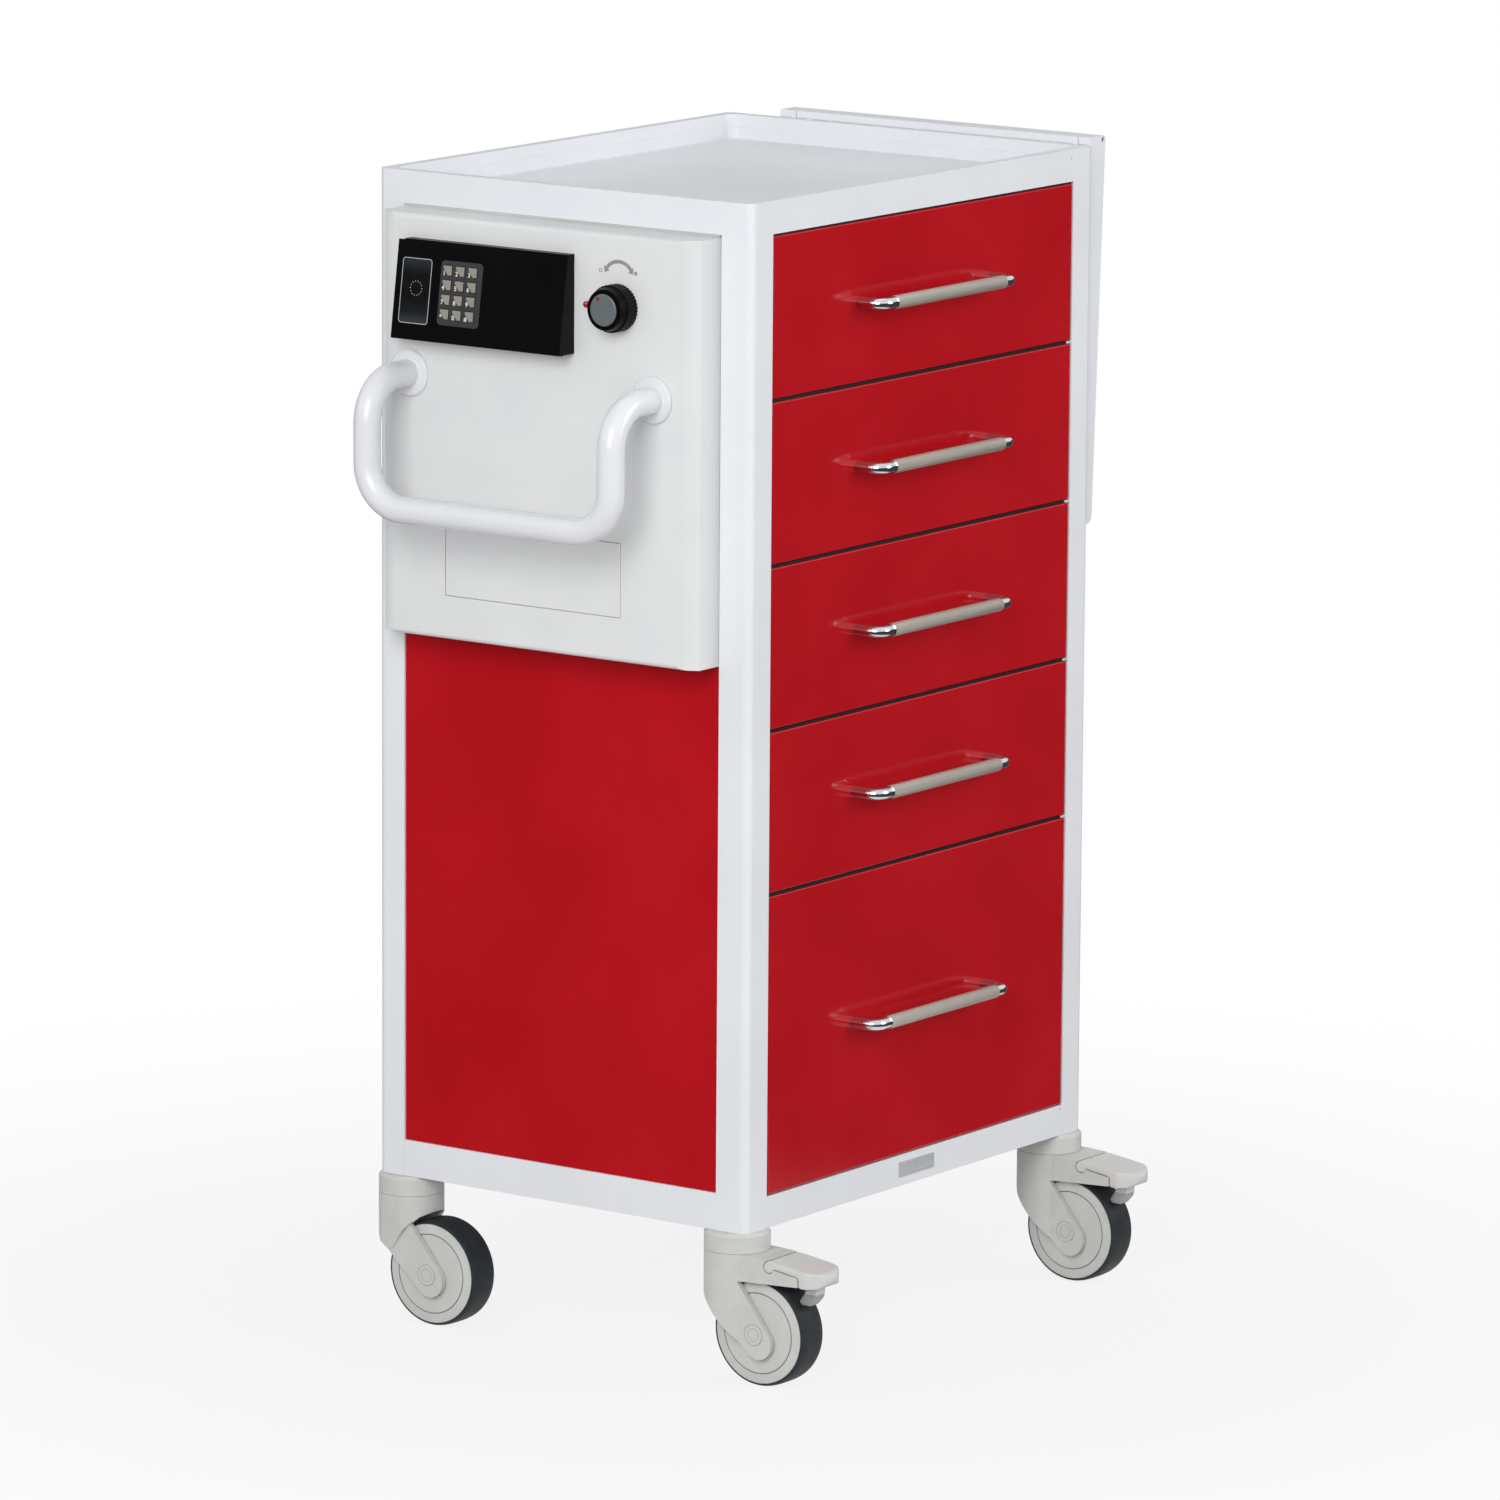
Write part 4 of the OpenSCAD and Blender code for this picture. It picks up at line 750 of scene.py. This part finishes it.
def prism(name, outline, half, place):
    """A working prism on an outline in mm; place turns (across, u, v) into a point."""
    shape = bmesh.new()
    rows = [[shape.verts.new(place(at, u, v)) for u, v in outline] for at in (-half, half)]
    count = len(outline)
    for k in range(count):
        shape.faces.new((rows[0][k], rows[0][(k + 1) % count], rows[1][(k + 1) % count], rows[1][k]))
    shape.faces.new(rows[0])
    shape.faces.new(list(reversed(rows[1])))
    bmesh.ops.recalc_face_normals(shape, faces=shape.faces)
    return draft(name, shape)


def side_prism(name, outline, half):
    """A prism drawn in the fork's side view."""
    return prism(name, outline, half, lambda at, u, v: (at, -u, v))


def draft(name, shape):
    """A working solid, taken away again once it has shaped the piece."""
    mesh = bpy.data.meshes.new(name)
    shape.to_mesh(mesh)
    shape.free()
    solid = bpy.data.objects.new(name, mesh)
    bpy.context.scene.collection.objects.link(solid)
    return solid


def carve(solid, tool, how):
    """Joins, cuts or keeps what two working solids share, and takes the second away."""
    step = solid.modifiers.new(how.lower(), "BOOLEAN")
    step.operation = how
    step.solver = "EXACT"
    step.object = tool
    bpy.context.view_layer.update()
    shaped = bpy.data.meshes.new_from_object(solid.evaluated_get(bpy.context.evaluated_depsgraph_get()))
    solid.modifiers.clear()
    solid.data = shaped
    bpy.data.objects.remove(tool)


def arc(middle_point, radius, start, end, steps):
    """Points on an arc, angles in degrees."""
    return [(middle_point[0] + radius * math.cos(math.radians(start + (end - start) * k / steps)),
             middle_point[1] + radius * math.sin(math.radians(start + (end - start) * k / steps)))
            for k in range(steps + 1)]


def rear_fork(i):
    """A rear fork as a working solid in mm."""
    column = bmesh.new()
    turned(column, Matrix.Translation((0, 0, HEAD_TOP - HEAD_DRAFT)), [(HEAD_R, 0), (HEAD_R, HEAD_DRAFT)], 96)
    bmesh.ops.recalc_face_normals(column, faces=column.faces)
    fork = draft(f"fork_head_{i}", column)
    carve(fork, side_prism("skirt", SKIRT, ACROSS), "INTERSECT")
    carve(fork, prism("taper", TAPER, ACROSS, lambda at, u, v: (u, at, v)), "INTERSECT")
    lean = math.degrees(math.atan2(ARM_TIP[1] - ARM_ROOT[1], ARM_TIP[0] - ARM_ROOT[0]))
    spread = math.degrees(math.asin((ARM_ROOT_R - ARM_TIP_R) / math.dist(ARM_TIP, ARM_ROOT)))
    arm = (arc(ARM_TIP, ARM_TIP_R, lean - 90 + spread, lean + 90 - spread, 24)
           + arc(ARM_ROOT, ARM_ROOT_R, lean + 90 - spread, lean + 270 + spread, 32))
    carve(fork, side_prism("arms", arm, FORK_HALF), "UNION")
    carve(fork, side_prism("axle_cap", arc(AXLE, CAP_R, 0, 352.5, 47), FORK_HALF + CAP_PROUD), "UNION")
    carve(fork, side_prism("tyre_room", arc(AXLE, TYRE_ROOM, 0, 354, 59), SLOT_HALF), "DIFFERENCE")
    return fork


def front_fork(i, place):
    """The frame's own front fork in mm, the back of its arms brought in to the line of the rear ones."""
    node = nodes[f"caster_fork_{i}"]
    mesh = node.data.copy()
    mesh.transform(place.inverted() @ node.matrix_world)
    fork = bpy.data.objects.new(f"fork_{i}", mesh)
    bpy.context.scene.collection.objects.link(fork)
    carve(fork, side_prism("outside", OUTSIDE, ACROSS), "DIFFERENCE")
    return fork


for i in CASTERS:
    swivel = middle(f"caster_fork_{i}").x
    hub = middle(f"wheel_hub_{i}")
    place = Matrix.Translation((swivel, hub.y + AXLE[0] * MM, UNDERSIDE)) @ Matrix.Scale(MM, 4)
    fork = front_fork(i, place) if i in FRONT_CASTERS else rear_fork(i)
    fork.name = f"moulded_fork_{i}"
    fork.data.transform(place)
    fork.data.materials.clear()
    fork.data.materials.append(CASTER_GREY)
    fork.data.shade_smooth()
    fork.data.set_sharp_from_angle(angle=math.radians(30))
    ease_edges(fork, 0.9)
    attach(fork, f"caster_{i}")
    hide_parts(f"caster_fork_{i}")

# Wheels: the tyre bulges like a low arch between its two shoulders

for i in CASTERS:
    hub = middle(f"wheel_hub_{i}")
    tread = [(TYRE_R - TYRE_FOOT, -TYRE_FOOT_HALF), (HUB_R + 0.1, -TYRE_FOOT_HALF)]
    for k in range(25):
        across = TYRE_HALF * math.sin(math.pi / 2 * (k / 12 - 1))
        bulge = math.sqrt(1 - abs(across / TYRE_HALF) ** 4)
        tread.append((HUB_R + 0.2 + (TYRE_R - HUB_R - 0.2) * bulge, across))
    tread += [(HUB_R + 0.1, TYRE_FOOT_HALF), (TYRE_R - TYRE_FOOT, TYRE_FOOT_HALF)]
    shape = bmesh.new()
    ring(shape, in_mm(facing(hub, (0, 1, 0), (0, 0, 1))), tread)
    tyre = make_piece(f"tread_{i}", shape, TYRE, f"wheel_{i}", 50)
    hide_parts(f"tyre_{i}")
    # The grey rings are painted shade: one darkens the seam groove on each side of the hub, two draw lines
    # round each axle's cap.
    seams = bmesh.new()
    caps = bmesh.new()
    for side in (-1, 1):
        board = in_mm(facing(hub, (0, side, 0), (0, 0, 1)))
        ring(seams, board, groove(HUB_SEAM_R, HUB_SEAM_R + 1.0, HUB_HALF - 0.7, HUB_HALF - 0.2))
        axle_face = FORK_HALF + CAP_PROUD
        for radius in (9.7, 5.9):
            ring(caps, board, groove(radius - 0.15, radius + 0.15, axle_face - 0.3, axle_face + 0.02), 48)
    make_piece(f"hub_groove_shade_{i}", seams, GROOVE_SHADE_GREY, f"wheel_{i}")
    make_piece(f"axle_cap_shade_rings_{i}", caps, GROOVE_SHADE_GREY, f"caster_{i}")

# Studio: a pale floor, a white room and three soft lamps


def lamp(name, at, target, width, power):
    """Hangs a square soft white lamp that faces a point."""
    light = bpy.data.lights.new(name, "AREA")
    light.shape = "SQUARE"
    light.size = width
    light.energy = power
    holder = bpy.data.objects.new(name, light)
    bpy.context.scene.collection.objects.link(holder)
    holder.location = at
    holder.rotation_euler = (Vector(target) - Vector(at)).to_track_quat("-Z", "Y").to_euler()


lamp("front_softbox", (1.6, -4.2, 2.4), (0, 0, 0.6), 2.6, 72)
lamp("left_softbox", (-4.2, -1.6, 2.6), (0, 0, 0.6), 2.6, 130)
lamp("overhead_softbox", (0.4, 0.8, 4.2), (0, 0, 0.5), 2.4, 9)

FLAG_GREY = "#43474b"
room = bpy.data.worlds.new("white_room")
room.use_nodes = True
bpy.context.scene.world = room
tree = room.node_tree
tree.nodes.clear()
ray = add(tree, "LightPath")
seen = add(tree, "Math", {0: ray.outputs["Is Camera Ray"], 1: ray.outputs["Is Glossy Ray"]},
           operation="MAXIMUM")
seen = add(tree, "Math", {0: seen.outputs["Value"], 1: ray.outputs["Is Transmission Ray"]},
           operation="MAXIMUM")
aim = add(tree, "SeparateXYZ", {"Vector": add(tree, "TexCoord").outputs["Generated"]})
# The light comes from the walls. The ceiling is dimmer, so level faces stay a shade below upright ones.
ceiling = add(tree, "ValToRGB", {"Fac": aim.outputs["Z"]})
ceiling.color_ramp.elements[0].position = 0.25
ceiling.color_ramp.elements[0].color = linear("#fbfcff")
ceiling.color_ramp.elements[1].position = 0.9
ceiling.color_ramp.elements[1].color = linear("#9a9ca0")
soft_light = add(tree, "Background", {"Color": ceiling.outputs["Color"], "Strength": 0.72})
# What shines sees grey flags from the floor to head height and white above them, as in a studio.
flags = add(tree, "ValToRGB", {"Fac": aim.outputs["Z"]})
flags.color_ramp.elements[0].position = 0.15
flags.color_ramp.elements[0].color = linear(FLAG_GREY)
flags.color_ramp.elements[1].position = 0.25
flags.color_ramp.elements[1].color = (1, 1, 1, 1)
wall_tone = add(tree, "Mix", {"Factor": ray.outputs["Is Glossy Ray"], "A": (1, 1, 1, 1),
                              "B": flags.outputs["Color"]}, data_type="RGBA")
white_wall = add(tree, "Background", {"Color": wall_tone.outputs["Result"], "Strength": 1.0})
both = add(tree, "MixShader", {0: seen.outputs["Value"], 1: soft_light.outputs["Background"],
                               2: white_wall.outputs["Background"]})
add(tree, "OutputWorld", {"Surface": both.outputs["Shader"]})

# Matt grey-white studio vinyl: it takes the cart's soft shadow and fades to the white of the room for
# the camera. What shines sees it white under the cart and in the grey of the flags farther out.

floor_finish, tree, surface, place = start_finish("studio_floor", Roughness=0.9,
                                                  Base_Color=linear("#c4c4c4"))
away = add(tree, "VectorMath", {0: place}, operation="LENGTH")
fade = add(tree, "MapRange", {"Value": away.outputs["Value"], "From Min": 0.3, "From Max": 1.6,
                              "To Min": 0.85, "To Max": 1.0}, interpolation_type="SMOOTHSTEP")
ray = add(tree, "LightPath")
white = add(tree, "Emission", {"Color": (1, 1, 1, 1), "Strength": 1.0})
near = add(tree, "MapRange", {"Value": away.outputs["Value"], "From Min": 0.55, "From Max": 0.85})
mirrored = add(tree, "Mix", {"Factor": near.outputs["Result"], "A": (1, 1, 1, 1), "B": linear(FLAG_GREY)},
               data_type="RGBA")
grey = add(tree, "Emission", {"Color": mirrored.outputs["Result"], "Strength": 1.0})
share = add(tree, "Math", {0: ray.outputs["Is Camera Ray"], 1: fade.outputs["Result"]},
            operation="MULTIPLY")
seen = add(tree, "MixShader", {0: share.outputs["Value"], 1: surface.outputs["BSDF"],
                               2: white.outputs["Emission"]})
both = add(tree, "MixShader", {0: ray.outputs["Is Glossy Ray"], 1: seen.outputs["Shader"],
                               2: grey.outputs["Emission"]})
tree.links.new(both.outputs["Shader"], tree.nodes["Material Output"].inputs["Surface"])

mesh = bpy.data.meshes.new("studio_floor")
shape = bmesh.new()
bmesh.ops.create_circle(shape, cap_ends=True, segments=96, radius=40)
shape.to_mesh(mesh)
shape.free()
mesh.materials.append(floor_finish)
floor = bpy.data.objects.new("studio_floor", mesh)
bpy.context.scene.collection.objects.link(floor)

# Camera, from the fit of the photograph: azimuth and elevation of the view in radians, and the roll

AZIMUTH, ELEVATION, ROLL = 0.946003, 0.185469, 0.006556
STAND = (-7.13365, -5.15325, 2.18370)
ahead = Vector((math.sin(AZIMUTH) * math.cos(ELEVATION), math.cos(AZIMUTH) * math.cos(ELEVATION),
                -math.sin(ELEVATION)))
right = Vector((math.cos(AZIMUTH), -math.sin(AZIMUTH), 0))
up = right.cross(ahead)
rolled_right = math.cos(ROLL) * right + math.sin(ROLL) * up
rolled_up = -math.sin(ROLL) * right + math.cos(ROLL) * up
lens = bpy.data.cameras.new("photo_camera")
lens.lens = 232.143
lens.sensor_width = 36
lens.clip_end = 200
camera = bpy.data.objects.new("photo_camera", lens)
bpy.context.scene.collection.objects.link(camera)
turn = Matrix((rolled_right, rolled_up, -ahead)).transposed().to_4x4()
camera.matrix_world = Matrix.Translation(STAND) @ turn
bpy.context.scene.camera = camera
bpy.context.scene.view_settings.view_transform = "Standard"
